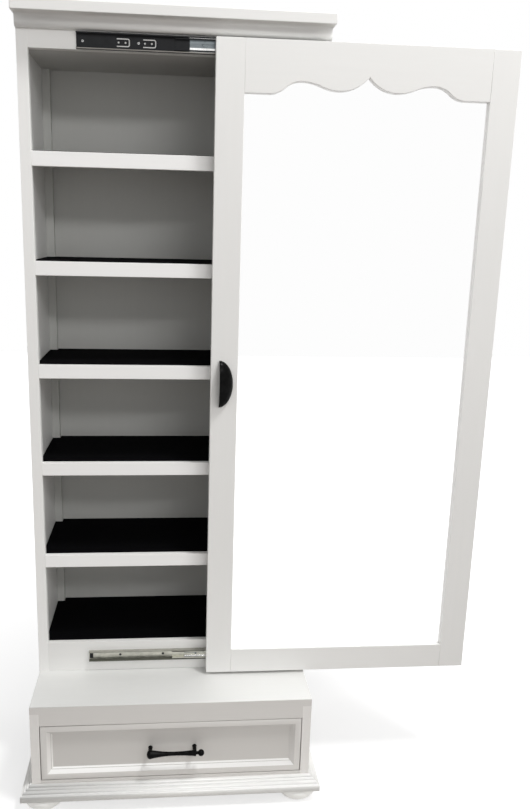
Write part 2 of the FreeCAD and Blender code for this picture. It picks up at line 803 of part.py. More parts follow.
def door():
    inner = door_half - door_frame
    stile = box(-door_half, -inner, door_front, door_back, door_floor, door_top)
    stile = stile.cut(box(-glass_half, -inner, lip_back, door_back, glass_floor, glass_top))
    stile = rounded(stile, edge_round, lambda m, e: near(m.y, door_front)
                    and (near(m.x, -door_half) or near(m.z, door_floor)
                         or near(m.z, door_top)))
    stile = rounded(stile, fine_round, lambda m, e: near(m.y, door_front) and near(m.x, -inner))
    drilled = stile
    for side in (-1, 1):
        place = V(cup_inset - door_half + cup_boss_inset, door_front,
                  door_middle + side * cup_boss_place)
        drilled = drilled.cut(Part.makeCylinder(pull_screw_radius, door_thickness, place,
                                                V(0, 1, 0)))
    add("door_stile_left", opened(drilled))
    add("door_stile_right", opened(mirrored(stile)))
    low = box(-inner, inner, door_front, door_back, door_floor, door_floor + door_frame)
    low = low.cut(box(-inner, inner, lip_back, door_back, glass_floor,
                      door_floor + door_frame))
    low = rounded(low, fine_round, lambda m, e: near(m.y, door_front)
                  and near(m.z, door_floor + door_frame))
    low = low.cut(door_bores(bottom_slide_axis))
    add("door_bottom_rail", opened(low))
    outline = scallop(door_top)
    shoulder = door_top - scallop_shoulder
    outline += [Part.LineSegment(V(inner, 0, shoulder), V(inner, 0, door_top)).toShape(),
                Part.LineSegment(V(inner, 0, door_top), V(-inner, 0, door_top)).toShape(),
                Part.LineSegment(V(-inner, 0, door_top), V(-inner, 0, shoulder)).toShape()]
    wire = Part.Wire(Part.__sortEdges__(outline))
    wire.translate(V(0, door_front, 0))
    rail = Part.Face(wire).extrude(V(0, door_lip, 0))
    rail = rounded(rail, edge_round, lambda m, e: near(m.y, door_front) and near(m.z, door_top))
    rail = rail.fuse(box(-inner, inner, lip_back, door_back, glass_top, door_top))
    add("door_top_rail", opened(rail.removeSplitter().cut(door_bores(top_slide_axis))))
    glass = glass_half - glass_play
    add("mirror_glass", opened(box(-glass, glass, lip_back, glass_back,
                                   glass_floor + glass_play, glass_top - glass_play)))
    add("door_back_board", opened(box(-glass, glass, glass_back,
                                      glass_back + door_board_thickness,
                                      glass_floor + glass_play, glass_top - glass_play)))


def door_bores(level):
    """Screw holes in the back of a door rail, with the door drawn closed."""
    holes = [Part.makeCylinder(screw_radius, screw_length,
                               V(slide_start + place, door_back, level), V(0, -1, 0))
             for place in door_hole_places]
    return Part.makeCompound(holes)


def ellipsoid(width, height, depth):
    """An ellipsoid about the origin with the given half sizes along x, z and y."""
    ball = Part.makeSphere(unit_radius)
    scale = FreeCAD.Matrix()
    scale.scale(V(width, depth, height))
    return ball.transformGeometry(scale)


def cup_pull():
    """A half-moon cup pull, open on its left, with two bosses for the screws."""
    half_tall = cup_height / 2
    outer = ellipsoid(cup_width, half_tall, cup_projection)
    inner = ellipsoid(cup_width - cup_wall, half_tall - cup_wall, cup_projection - cup_wall)
    front_right = box(0, cup_width + overrun, -cup_projection - overrun, 0,
                      -half_tall - overrun, half_tall + overrun)
    shell = outer.common(front_right).cut(inner)
    place = V(cup_inset - door_half, door_front, door_middle)
    screws = []
    whole = outer.common(front_right)
    for side in (-1, 1):
        root = V(cup_boss_inset, 0, side * cup_boss_place)
        boss = Part.makeCylinder(cup_boss_radius, cup_projection, root, V(0, -1, 0))
        shell = shell.fuse(boss.common(whole))
        hole = Part.makeCylinder(pull_screw_radius, pull_screw_depth, root, V(0, -1, 0))
        shell = shell.cut(hole)
        shank = Part.makeCylinder(pull_screw_radius, door_thickness + pull_screw_depth,
                                  root + V(0, door_thickness, 0), V(0, -1, 0))
        head = Part.makeCylinder(pull_screw_head_radius, pull_screw_head_height,
                                 root + V(0, door_thickness, 0), V(0, 1, 0))
        both = shank.fuse(head)
        both.translate(place)
        screws.append(opened(both))
    shell.translate(place)
    add("door_cup_pull", opened(shell))
    add("door_pull_screws", *screws)


door_middle = (door_floor + door_top) / 2

carcass()
shelves()
crown()
base()
plinth()
feet()
drawer()
drawer_pull()
door_slides()
drawer_runners()
door()
cup_pull()

# The origin is the middle of the outline's floor with the door open and the drawer closed
left_reach = half_width + plinth_projection
right_reach = door_half + door_travel
front_reach = max(base_projection + plinth_projection,
                  pull_reach - panel_face + pull_butt_radius)
origin_shift = V((left_reach - right_reach) / 2, (front_reach - carcass_depth) / 2, 0)

os.makedirs("parts", exist_ok=True)
for name, solids in nodes.items():
    whole = Part.makeCompound(solids) if len(solids) > 1 else solids[0]
    whole.translate(origin_shift)
    whole.exportStep("parts/%s.step" % name)
print(len(nodes), "nodes, top", round(cabinet_top, 1), "shift", origin_shift)
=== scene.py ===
import math

import bmesh
import bpy
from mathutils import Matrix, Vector


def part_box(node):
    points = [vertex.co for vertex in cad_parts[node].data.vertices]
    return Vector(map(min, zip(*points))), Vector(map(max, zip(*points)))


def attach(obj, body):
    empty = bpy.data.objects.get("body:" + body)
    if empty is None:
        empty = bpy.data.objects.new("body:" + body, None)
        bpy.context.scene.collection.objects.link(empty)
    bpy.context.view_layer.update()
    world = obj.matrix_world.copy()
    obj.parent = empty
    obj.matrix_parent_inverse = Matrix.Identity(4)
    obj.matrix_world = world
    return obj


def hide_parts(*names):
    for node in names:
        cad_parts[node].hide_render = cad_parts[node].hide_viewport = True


bl_info = {
    "name": "Mirror cabinet",
    "version": (1, 0, 0),
    "blender": (4, 5, 0),
    "location": "View3D > Sidebar > Cabinet",
    "description": "Dresses a tall shoe cabinet with a sliding mirror door and a drawer base",
    "category": "Object",
}

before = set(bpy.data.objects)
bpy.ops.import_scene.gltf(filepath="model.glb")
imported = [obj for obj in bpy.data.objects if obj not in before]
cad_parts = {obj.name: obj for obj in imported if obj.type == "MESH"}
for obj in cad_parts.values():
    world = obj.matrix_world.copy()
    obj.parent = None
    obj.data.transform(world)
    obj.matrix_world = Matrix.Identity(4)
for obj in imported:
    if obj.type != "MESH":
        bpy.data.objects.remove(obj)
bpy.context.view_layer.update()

MM = 0.001
ARRIS_SEGMENTS = 2
CURVE_STEPS = 10
UPRIGHT, SIDEWAYS, DEEP = "upright", "sideways", "deep"
GRAIN_SHARES = {UPRIGHT: (1, 1, 0.06), SIDEWAYS: (0.06, 1, 1), DEEP: (1, 0.06, 1)}


# Places read from the frame
def low(node):
    """Lowest corner of a piece of the frame."""
    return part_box(node)[0]


def high(node):
    """Highest corner of a piece of the frame."""
    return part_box(node)[1]


def middle(node):
    """Centre of a piece of the frame."""
    return (low(node) + high(node)) / 2


def solids(node):
    """Boxes of the separate solids of a piece of the frame, from left to right."""
    bm = bmesh.new()
    bm.from_mesh(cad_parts[node].data)
    bmesh.ops.remove_doubles(bm, verts=bm.verts, dist=0.001 * MM)
    seen = set()
    boxes = []
    for start in bm.verts:
        if start in seen:
            continue
        seen.add(start)
        group = [start]
        for vert in group:
            fresh = [e.other_vert(vert) for e in vert.link_edges if e.other_vert(vert) not in seen]
            seen.update(fresh)
            group += fresh
        boxes.append([Vector([pick(v.co[i] for v in group) for i in range(3)])
                      for pick in (min, max)])
    bm.free()
    return sorted(boxes, key=lambda box: box[0].x)


CABINET_MIDDLE = middle("base_top").x
DOOR_FRONT = low("door_stile_right").y
DOOR_BACK = high("door_bottom_rail").y


# Settings
def tint(name, text, value):
    """A setting that holds a colour."""
    return bpy.props.FloatVectorProperty(name=name, description=text, default=value, size=3,
                                         min=0, max=1, subtype="COLOR")


def span(name, text, value):
    """A setting that holds a length, given in millimetres."""
    return bpy.props.FloatProperty(name=name, description=text, default=value * MM,
                                   unit="LENGTH")


def amount(name, text, value, **kind):
    """A setting that holds a plain number."""
    return bpy.props.FloatProperty(name=name, description=text, default=value, **kind)


class PaintSettings(bpy.types.PropertyGroup):
    """Colours and finishes"""

    white: tint("White", "Lacquer of the painted boards", (0.86, 0.855, 0.835))
    inside: tint("Inside", "Lacquer of the boards inside the cabinet", (0.62, 0.62, 0.595))
    # Painted light: a lighter copy of the white lacquer for the face stiles and the head rail
    face: tint("Face", "Lacquer of the face stiles and the head rail", (0.92, 0.915, 0.895))
    # Painted shade: a darker copy of the white lacquer that tones down the lamps' highlight on the
    # base's top
    top: tint("Top", "Lacquer of the base's top board", (0.75, 0.75, 0.73))
    # Painted shade: a darker copy of the white lacquer for the dimmer light on the base's rails,
    # the front edge of its top and the drawer front
    base: tint("Base", "Lacquer of the base's rails and the drawer front", (0.68, 0.66, 0.635))
    # A copy of the lacquer lighter than the base's, on the base's stiles; on the drawer's slope
    # that faces right it is painted light
    stile: tint("Stile", "Lacquer of the base's stiles", (0.78, 0.76, 0.735))
    # Painted light: a lighter copy of the white lacquer on faces that face up and on the shelf
    # lippings
    bright: tint("Bright", "Lacquer of edges that face up", (0.97, 0.965, 0.95))
    shade: tint("Shade", "Lacquer of slopes that face down", (0.58, 0.56, 0.54))
    # Painted shade: a darker copy of the white lacquer in the drawer's recess
    panel: tint("Panel", "Lacquer of the drawer's recessed panel", (0.59, 0.57, 0.545))
    lacquer_roughness: amount("Lacquer roughness", "How matt the lacquer is", 0.42, min=0,
                              max=1, subtype="FACTOR")
    inside_roughness: amount("Inside roughness", "How matt the lacquer inside is", 0.55, min=0,
                             max=1, subtype="FACTOR")
    felt: tint("Felt", "Colour of the shelf mats", (0.0025, 0.0025, 0.003))
    iron: tint("Black iron", "Colour of the two pulls", (0.002, 0.002, 0.002))
    silver: tint("Silvering", "Colour of the mirror", (0.985, 0.985, 0.985))
    board: tint("Board", "Dark flecks of the backing board", (0.20, 0.13, 0.075))
    pale_board: tint("Pale board", "Pale flecks of the backing board", (0.33, 0.23, 0.14))
    zinc_plate: tint("Zinc", "Colour of the lower slide", (0.61, 0.605, 0.54))
    # Painted shade: the lower slide's upper lip and its race are darker copies of its zinc
    lip_zinc: tint("Lip", "Zinc of the lower slide's upper lip", (0.31, 0.305, 0.265))
    deep_zinc: tint("Race", "Shaded zinc of the lower slide's race", (0.075, 0.078, 0.06))
    # A dark colour: on the upper slide it is a painted dark reflection and shade; it also colours
    # the slides' end plates and the slide screws' heads
    dark_plate: tint("Dark plate", "Colour of the upper slide", (0.022, 0.023, 0.025))
    # Painted highlight: the light caught on the upper slide's lower lip
    worn_edge: tint("Worn edge", "Lit lip of the upper slide", (0.30, 0.285, 0.26))
    # Grey steel: also painted shade on the stops' upper strips
    grey_steel: tint("Grey steel", "Colour of the stops", (0.17, 0.19, 0.20))
    # Bright steel: also a painted highlight on the stops' lower strips and a painted glint on the
    # upper slide's screws
    bright_steel: tint("Bright steel", "Colour of the balls' cages", (0.86, 0.86, 0.85))


class BoardSettings(bpy.types.PropertyGroup):
    """Edges of the boards"""

    arris: span("Arris", "Width of the eased edge of a board", 0.8)
    soft_arris: span("Soft arris", "Width of the eased edge of a board that is handled", 1.6)


class ScallopSettings(bpy.types.PropertyGroup):
    """The scalloped lower edge of the door's top rail, from its middle and straight part"""

    shoulder_place: span("Shoulder place", "To the end of the straight part", 227)
    crest_place: span("Crest place", "To the side crest", 153)
    trough_place: span("Trough place", "To the trough", 66)
    crest_rise: span("Crest rise", "Height of the side crest", 28.5)
    trough_rise: span("Trough rise", "Height of the trough", 11)
    cusp_rise: span("Cusp rise", "Height of the middle point", 42.8)


class DrawerSettings(bpy.types.PropertyGroup):
    """The bevelled drawer front"""

    frame_width: span("Frame", "Width of the flat frame", 15)
    bevel_run: span("Bevel", "Width of the outer slope", 10)
    bevel_depth: span("Bevel depth", "Depth of the outer slope", 7.5)
    bead_run: span("Bead", "Width of the inner slope", 5)
    bead_depth: span("Bead depth", "Depth of the inner slope", 3.5)


class PullSettings(bpy.types.PropertyGroup):
    """The two black pulls"""

    post_spacing: span("Post spacing", "Between the posts of the bar pull", 111)
    post_radius: span("Post radius", "Radius of a post of the bar pull", 5)
    butt_radius: span("Butt radius", "Radius of the flared left end", 11)
    waist_radius: span("Waist radius", "Radius of the bar's waist", 4.8)
    tail_radius: span("Tail radius", "Radius of the bar before its neck", 7.8)
    neck_radius: span("Neck radius", "Radius of the neck before the ball", 4)
    ball_radius: span("Ball radius", "Radius of the ball end", 8.2)
    cup_wall: span("Cup wall", "Wall of the cup pull", 2.2)


class StageSettings(bpy.types.PropertyGroup):
    """Camera, lamps and floor"""

    camera_place: bpy.props.FloatVectorProperty(
        name="Camera", description="Where the camera stands", size=3, subtype="TRANSLATION",
        default=(-0.2190, -1.8805, 1.4325))
    camera_turn: bpy.props.FloatVectorProperty(
        name="Camera turn", description="How the camera is turned", size=3, subtype="EULER",
        default=(math.radians(77.109), math.radians(-1.342), math.radians(-4.912)))
    lens: amount("Lens", "Focal length on a 36 mm long side, in millimetres", 34)
    shift: bpy.props.FloatVectorProperty(
        name="Shift", description="Lens shift, as shares of the long side", size=2,
        default=(0.0361, 0.0007))
    key_power: amount("Key lamp", "Power of the wide, flat lamp behind the viewer", 48,
                      unit="POWER")
    top_power: amount("Top lamp", "Power of the ceiling lamp at the right", 110, unit="POWER")
    zenith: amount("Zenith", "Strength of the room's light from straight above", 0.03)
    horizon: amount("Horizon", "Strength of the room's light from the sides", 0.48)
    east: amount("Right", "Strength added to the room's light from the right", 1.29)
    west: amount("Left", "Strength added to the room's light from the left", 0.98)
    floor_size: amount("Floor size", "Side of the floor", 14, unit="LENGTH")
    floor_bounce: tint("Floor bounce", "Light that the floor sends up", (0.17, 0.14, 0.12))
    near_bounce: tint("Near bounce", "Light sent up close to the plinth", (0.75, 0.73, 0.7))
    floor_glow: amount("Floor glow", "How much the floor is lifted to white", 0.6)
    far_glow: amount("Far glow", "How much the far floor is lifted to white", 0.95)


# Meshes
def link_object(name, data):
    """A new object in the scene."""
    thing = bpy.data.objects.new(name, data)
    bpy.context.scene.collection.objects.link(thing)
    return thing


def add_piece(name, mesh, node=None, body="cabinet", material=None):
    """A piece in the scene, riding on its body and standing for a node of the frame."""
    piece = link_object(name, mesh)
    if material:
        mesh.materials.clear()
        mesh.materials.append(material)
    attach(piece, body)
    if node:
        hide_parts(node)
    return piece


def corner_edges(bm, angle=35):
    """Edges where two faces meet at a corner."""
    return [edge for edge in bm.edges if len(edge.link_faces) == 2
            and edge.calc_face_angle(0) > math.radians(angle)]


def bevelled(bm, edges, width, segments):
    """Rounds edges and returns the faces made there."""
    return bmesh.ops.bevel(bm, geom=edges, offset=width, segments=segments, profile=0.5,
                           affect="EDGES", clamp_overlap=True)["faces"]


def ease(bm, arris=0, test=None):
    """Rounds the corners of a closed shape and smooths what is curved."""
    flattest, steepest = math.radians(0.3), math.radians(30)
    bmesh.ops.recalc_face_normals(bm, faces=bm.faces)
    curved = set()
    for edge in bm.edges:
        if len(edge.link_faces) == 2 and flattest < edge.calc_face_angle(0) < steepest:
            curved.update(edge.link_faces)
    for face in bm.faces:
        face.smooth = face in curved and len(face.verts) <= 4
    if arris > 0:
        chosen = [edge for edge in corner_edges(bm)
                  if not test or test((edge.verts[0].co + edge.verts[1].co) / 2)]
        for face in bevelled(bm, chosen, arris, ARRIS_SEGMENTS):
            face.smooth = True


def mesh_of(bm, name):
    """Turns a bmesh into a mesh."""
    mesh = bpy.data.meshes.new(name)
    bm.to_mesh(mesh)
    bm.free()
    return mesh


def eased_mesh(bm, name, arris=0, test=None):
    """Turns a bmesh into a mesh with eased edges."""
    ease(bm, arris, test)
    return mesh_of(bm, name)


def joined(name, meshes):
    """One mesh of several."""
    bm = bmesh.new()
    for mesh in meshes:
        bm.from_mesh(mesh)
    return mesh_of(bm, name)


def ring(bm, points):
    """Corners of a bmesh at a list of points."""
    return [bm.verts.new(point) for point in points]


def bridge(bm, near, far):
    """Faces between two closed rings, left out where their corners are the same."""
    count = max(len(near), len(far))
    for i in range(count):
        j = (i + 1) % count
        corners = dict.fromkeys((near[i % len(near)], near[j % len(near)],
                                 far[j % len(far)], far[i % len(far)]))
        if len(corners) > 2:
            bm.faces.new(list(corners))


def loft(bm, rings):
    """A closed shape through rings, with a face on each end that isn't a tip."""
    for near, far in zip(rings, rings[1:]):
        bridge(bm, near, far)
    for end in (rings[0], rings[-1]):
        if len(end) > 2:
            bm.faces.new(end)


def bm_prism(bm, outline, run):
    """Adds a straight prism over a closed outline of points."""
    loft(bm, [ring(bm, outline), ring(bm, [Vector(p) + Vector(run) for p in outline])])


def prism_mesh(name, outline, run, arris=0):
    """A straight prism over a closed outline of points, with eased edges."""
    bm = bmesh.new()
    bm_prism(bm, outline, run)
    return eased_mesh(bm, name, arris)


def boards_mesh(name, boxes, arris=0, test=None):
    """One mesh of separate boards, each between two corners."""
    bm = bmesh.new()
    for (x0, y0, z0), (x1, y1, z1) in boxes:
        bm_prism(bm, [(x0, y0, z0), (x1, y0, z0), (x1, y1, z0), (x0, y1, z0)],
                 (0, 0, z1 - z0))
    return eased_mesh(bm, name, arris, test)


def circle(radius, count):
    """Points of a circle, or the one point of a circle without a radius."""
    turns = [2 * math.pi * i / count for i in range(count if radius > 0 else 1)]
    return [(radius * math.cos(turn), radius * math.sin(turn)) for turn in turns]


def turned_mesh(name, profile, axis, origin, segments):
    """A turned piece from (radius, place) points along an axis, from tip to tip."""
    axis = Vector(axis)
    side = axis.orthogonal().normalized()
    other = axis.cross(side)
    bm = bmesh.new()
    loft(bm, [ring(bm, [Vector(origin) + axis * place + side * a + other * b
                        for a, b in circle(radius, segments)]) for radius, place in profile])
    bmesh.ops.recalc_face_normals(bm, faces=bm.faces)
    for face in bm.faces:
        face.smooth = True
    mesh = mesh_of(bm, name)
    mesh.set_sharp_from_angle(angle=math.radians(50))
    return mesh


def shares(count):
    """Equal steps from the first one up to the whole."""
    return [i / count for i in range(1, count + 1)]


def quarter_turns(count):
    """Angles from nothing up to a right angle, in equal steps."""
    return [math.pi / 2 * share for share in [0] + shares(count)]


def mirror(points, centre=0):
    """The points of an outline's other half, in the order that closes it."""
    return [(2 * centre - x, y) for x, y in reversed(points)]


def level_arc(level_end, other_end, steps=CURVE_STEPS):
    """Points of the arc that leaves its first end level and ends at its second."""
    run = other_end[0] - level_end[0]
    rise = other_end[1] - level_end[1]
    radius = (run * run + rise * rise) / (2 * abs(rise))
    whole = math.atan2(abs(run), radius - abs(rise))
    turns = [whole * i / steps for i in range(steps + 1)]
    return [(level_end[0] + math.copysign(radius * math.sin(turn), run),
             level_end[1] + math.copysign(radius * (1 - math.cos(turn)), rise))
            for turn in turns]


def upright_arc(upright_end, other_end, steps=CURVE_STEPS):
    """Points of the arc that leaves its first end upright and ends at its second."""
    return [(b, a) for a, b in level_arc(upright_end[::-1], other_end[::-1], steps)]


# Nodes of geometry and of materials
def once(kind):
    """Lets a builder run once for a name, and finds what it made there after that."""
    def wrap(build):
        def find(name, *details):
            return getattr(bpy.data, kind).get(name) or build(name, *details)
        return find
    return wrap


def fill(tree, node, inputs):
    """Links a node's inputs to sockets, or sets them to values."""
    for key, value in inputs.items():
        if isinstance(value, bpy.types.NodeSocket):
            tree.links.new(value, node.inputs[key])
        else:
            node.inputs[key].default_value = value


def put(tree, kind, inputs=None, **settings):
    """A new node with its settings and inputs."""
    node = tree.nodes.new(kind)
    for key, value in settings.items():
        setattr(node, key, value)
    fill(tree, node, inputs or {})
    return node


def new_tree(name, kind, inputs, outputs):
    """A node tree with named inputs and outputs, and the sockets of its inputs."""
    tree = bpy.data.node_groups.new(name, kind)
    for way, rows in (("INPUT", inputs), ("OUTPUT", outputs)):
        for label, socket in rows:
            tree.interface.new_socket(label, in_out=way, socket_type="NodeSocket" + socket)
    return tree, put(tree, "NodeGroupInput").outputs


def growing_tree(name, inputs):
    """A geometry node tree that also takes a mesh and a material."""
    return new_tree(name, "GeometryNodeTree",
                    [("Geometry", "Geometry")] + inputs + [("Material", "Material")],
                    [("Geometry", "Geometry")])


def close_tree(tree, source, geometry):
    """Ends a tree in Realize Instances and Set Material."""
    plain = put(tree, "GeometryNodeRealizeInstances", {"Geometry": geometry})
    paint = put(tree, "GeometryNodeSetMaterial",
                {"Geometry": plain.outputs[0], "Material": source["Material"]})
    put(tree, "NodeGroupOutput", {"Geometry": paint.outputs[0]})
    return tree


@once("node_groups")
def copies_tree(name):
    """Sets a copy of a piece at each point."""
    tree, source = growing_tree(name, [("Piece", "Object")])
    info = put(tree, "GeometryNodeObjectInfo", {"Object": source["Piece"], "As Instance": True})
    copies = put(tree, "GeometryNodeInstanceOnPoints",
                 {"Points": source["Geometry"], "Instance": info.outputs["Geometry"]})
    return close_tree(tree, source, copies.outputs[0])


@once("node_groups")
def stack_tree(name):
    """Repeats a piece upwards at a pitch."""
    tree, source = growing_tree(name, [("Count", "Int"), ("Pitch", "Float")])
    step = put(tree, "ShaderNodeCombineXYZ", {"Z": source["Pitch"]})
    line = put(tree, "GeometryNodeMeshLine",
               {"Count": source["Count"], "Offset": step.outputs[0]}, mode="OFFSET")
    copies = put(tree, "GeometryNodeInstanceOnPoints",
                 {"Points": line.outputs[0], "Instance": source["Geometry"]})
    return close_tree(tree, source, copies.outputs[0])


@once("node_groups")
def swept_tree(name):
    """Runs a closed section along a straight path to the right."""
    tree, source = growing_tree(name, [("Length", "Float")])
    run = put(tree, "ShaderNodeCombineXYZ", {"X": source["Length"]})
    extrude = put(tree, "GeometryNodeExtrudeMesh",
                  {"Mesh": source["Geometry"], "Offset": run.outputs[0], "Individual": False},
                  mode="FACES")
    flip = put(tree, "GeometryNodeFlipFaces", {"Mesh": source["Geometry"]})
    join = put(tree, "GeometryNodeJoinGeometry", {"Geometry": flip.outputs[0]})
    fill(tree, join, {"Geometry": extrude.outputs["Mesh"]})
    merge = put(tree, "GeometryNodeMergeByDistance",
                {"Geometry": join.outputs[0], "Distance": 0.01 * MM})
    return close_tree(tree, source, merge.outputs[0])


def grown_mesh(name, mesh, tree, values):
    """The plain mesh that a geometry node tree makes of a mesh."""
    seed = link_object(name + "_seed", mesh)
    modifier = seed.modifiers.new("grow", "NODES")
    modifier.node_group = tree
    for item in tree.interface.items_tree:
        if item.in_out == "INPUT" and item.name in values:
            modifier[item.identifier] = values[item.name]
    seed.update_tag()
    bpy.context.view_layer.update()
    graph = bpy.context.evaluated_depsgraph_get()
    grown = bpy.data.meshes.new_from_object(seed.evaluated_get(graph))
    grown.name = name
    bpy.data.objects.remove(seed)
    return grown


def copies_mesh(name, piece_mesh, points, material):
    """One mesh with a copy of a piece at each point."""
    piece = link_object(name + "_piece", piece_mesh)
    seeds = bpy.data.meshes.new(name + "_points")
    seeds.from_pydata(points, [], [])
    mesh = grown_mesh(name, seeds, copies_tree("copies at points"),
                      {"Piece": piece, "Material": material})
    bpy.data.objects.remove(piece)
    return mesh


# Materials
def place_in(tree):
    """The place on the piece, in its own coordinates."""
    return put(tree, "ShaderNodeTexCoord").outputs["Object"]


def maths(tree, operation, *values):
    """The result of a sum on sockets and numbers."""
    return put(tree, "ShaderNodeMath", dict(enumerate(values)), operation=operation).outputs[0]


def noise(tree, place, scale, detail, roughness=0.5):
    """A noise over a place."""
    return put(tree, "ShaderNodeTexNoise", {"Vector": place, "Scale": scale, "Detail": detail,
                                            "Roughness": roughness}).outputs["Fac"]


def mapped(tree, value, start, end, first, last):
    """Maps a value from one range to another, and stops at its ends."""
    return put(tree, "ShaderNodeMapRange", {"Value": value, "From Min": start, "From Max": end,
                                            "To Min": first, "To Max": last}).outputs["Result"]


def spread(tree, value, first, last):
    """Maps the usual range of a noise to another."""
    return mapped(tree, value, 0.3, 0.7, first, last)


def scaled(tree, colour, factor):
    """A colour times a value."""
    return put(tree, "ShaderNodeVectorMath", {0: colour, "Scale": factor},
               operation="SCALE").outputs[0]


def mixed(tree, factor, first, last):
    """A colour between two."""
    return put(tree, "ShaderNodeMix", {"Factor": factor, "A": first, "B": last},
               data_type="RGBA").outputs["Result"]


@once("node_groups")
def skin_group(name, grain, grain_tone, patch, patch_tone, patch_gloss, peel=None):
    """A skin whose colour and gloss drift in patches, over a grain drawn out one way."""
    tree, source = new_tree(
        name, "ShaderNodeTree",
        [("Colour", "Color"), ("Stretch", "Vector"), ("Roughness", "Float")],
        [("Colour", "Color"), ("Roughness", "Float"), ("Height", "Float")])
    place = place_in(tree)
    along = put(tree, "ShaderNodeVectorMath", {0: place, 1: source["Stretch"]},
                operation="MULTIPLY").outputs[0]
    height = streaks = noise(tree, along, *grain)
    patches = noise(tree, place, *patch)
    tone = maths(tree, "MULTIPLY", spread(tree, patches, *patch_tone),
                 spread(tree, streaks, *grain_tone))
    matt = maths(tree, "ADD", source["Roughness"], spread(tree, patches, *patch_gloss))
    if peel:
        height = maths(tree, "MULTIPLY_ADD", streaks, 0.2, noise(tree, place, *peel))
    put(tree, "NodeGroupOutput", {"Colour": scaled(tree, source["Colour"], tone),
                                  "Roughness": matt, "Height": height})
    return tree


def new_material(name):
    """A material with its node tree."""
    material = bpy.data.materials.new(name)
    material.use_nodes = True
    return material, material.node_tree


def shade(tree, inputs, height=None, relief=1, depth=MM):
    """Fills the inputs of a material's shader, and gives it a bump."""
    if height is not None:
        bump = put(tree, "ShaderNodeBump",
                   {"Height": height, "Strength": relief, "Distance": depth})
        inputs["Normal"] = bump.outputs["Normal"]
    fill(tree, tree.nodes["Principled BSDF"], inputs)


@once("materials")
def skinned(name, skin, colour, way, roughness, relief, depth, metal=0, gloss=0.5):
    """A material whose colour, roughness and bump come from a skin."""
    material, tree = new_material(name)
    made = put(tree, "ShaderNodeGroup", {"Colour": (*colour, 1), "Stretch": GRAIN_SHARES[way],
                                         "Roughness": roughness}, node_tree=skin).outputs
    shade(tree, {"Base Color": made["Colour"], "Roughness": made["Roughness"],
                 "Metallic": metal, "Specular IOR Level": gloss}, made["Height"], relief, depth)
    return material


def lacquer(way=UPRIGHT, tone="white"):
    """Sprayed lacquer: a fine peel, faint board grain and a slow drift in tone."""
    paint = bpy.context.scene.cabinet_paint
    skin = skin_group("sprayed lacquer", (90, 4, 0.6), (0.992, 1.006), (2.2, 2),
                      (0.985, 1.012), (-0.05, 0.05), (420, 1))
    roughness = paint.inside_roughness if tone == "inside" else paint.lacquer_roughness
    return skinned("%s_lacquer_%s" % (tone, way), skin, getattr(paint, tone), way, roughness,
                   0.1, 0.3 * MM)


# Roughness, strength and depth of the relief, metal and gloss of each steel
STEELS = {
    "zinc_plate": (0.34, 0.15, 0.1 * MM, 1),
    "bright_steel": (0.18, 0.05, 0.05 * MM, 1),
    "grey_steel": (0.3, 0.1, 0.05 * MM, 1),
    "dark_plate": (0.36, 0.12, 0.1 * MM, 0, 0.15),
    "lip_zinc": (0.5, 0.12, 0.1 * MM),
    "deep_zinc": (0.5, 0.12, 0.1 * MM),
    "worn_edge": (0.5, 0.1, 0.05 * MM),
}


def steel(name):
    """Rolled and plated steel: streaks along the strip and blotches of plating."""
    skin = skin_group("plated strip", (300, 3, 0.6), (0.93, 1.06), (60, 3, 0.6), (0.85, 1.12),
                      (-0.07, 0.09))
    colour = getattr(bpy.context.scene.cabinet_paint, name)
    return skinned(name, skin, colour, SIDEWAYS, *STEELS[name])


@once("materials")
def black_iron(name):
    """Black powder coat over iron, a little uneven."""
    iron = bpy.context.scene.cabinet_paint.iron
    material, tree = new_material(name)
    place = place_in(tree)
    patch = noise(tree, place, 70, 2)
    worn = [2.2 * c for c in iron]
    colour = mixed(tree, spread(tree, patch, 0, 1), (*iron, 1), (*worn, 1))
    shade(tree, {"Base Color": colour, "Roughness": spread(tree, patch, 0.22, 0.32),
                 "Specular IOR Level": 0.05}, noise(tree, place, 520, 3, 0.6), 0.25, 0.15 * MM)
    return material


@once("materials")
def felt(name):
    """Dense black felt."""
    material, tree = new_material(name)
    place = place_in(tree)
    fibre = noise(tree, place, 900, 6, 0.75)
    clump = noise(tree, place, 140, 3, 0.6)
    tone = maths(tree, "ADD", spread(tree, fibre, 0.5, 1.3), spread(tree, clump, -0.15, 0.25))
    shade(tree, {"Base Color": scaled(tree, bpy.context.scene.cabinet_paint.felt, tone),
                 "Roughness": 0.95, "Sheen Weight": 0.01, "Sheen Roughness": 0.5,
                 "Sheen Tint": (0.2, 0.2, 0.22, 1), "Specular IOR Level": 0.02},
          fibre, 0.7, 0.4 * MM)
    return material


@once("materials")
def mirror_silver(name):
    """Silvered glass, a touch uneven."""
    silver = bpy.context.scene.cabinet_paint.silver
    material, tree = new_material(name)
    haze = noise(tree, place_in(tree), 6, 2)
    dull = [0.995 * c for c in silver]
    shade(tree, {"Base Color": mixed(tree, haze, (*silver, 1), (*dull, 1)),
                 "Roughness": spread(tree, haze, 0, 0.02), "Metallic": 1})
    return material


@once("materials")
def fibreboard(name):
    """Raw brown backing board."""
    paint = bpy.context.scene.cabinet_paint
    material, tree = new_material(name)
    fleck = noise(tree, place_in(tree), 260, 6, 0.7)
    colour = mixed(tree, spread(tree, fleck, 0, 1), (*paint.board, 1), (*paint.pale_board, 1))
    shade(tree, {"Base Color": colour, "Roughness": 0.8}, fleck, 0.3, 0.2 * MM)
    return material


# Pieces
def add_board(node, mesh, way, tone="white", body="cabinet"):
    """A painted piece of wood that stands for a node."""
    return add_piece(node + "_board", mesh, node, body, lacquer(way, tone))


def painted(node, way, arris=0, tone="white", body="cabinet", test=None):
    """Plain boards with eased edges that stand for a node."""
    mesh = boards_mesh(node + "_board", solids(node), arris, test)
    return add_board(node, mesh, way, tone, body)


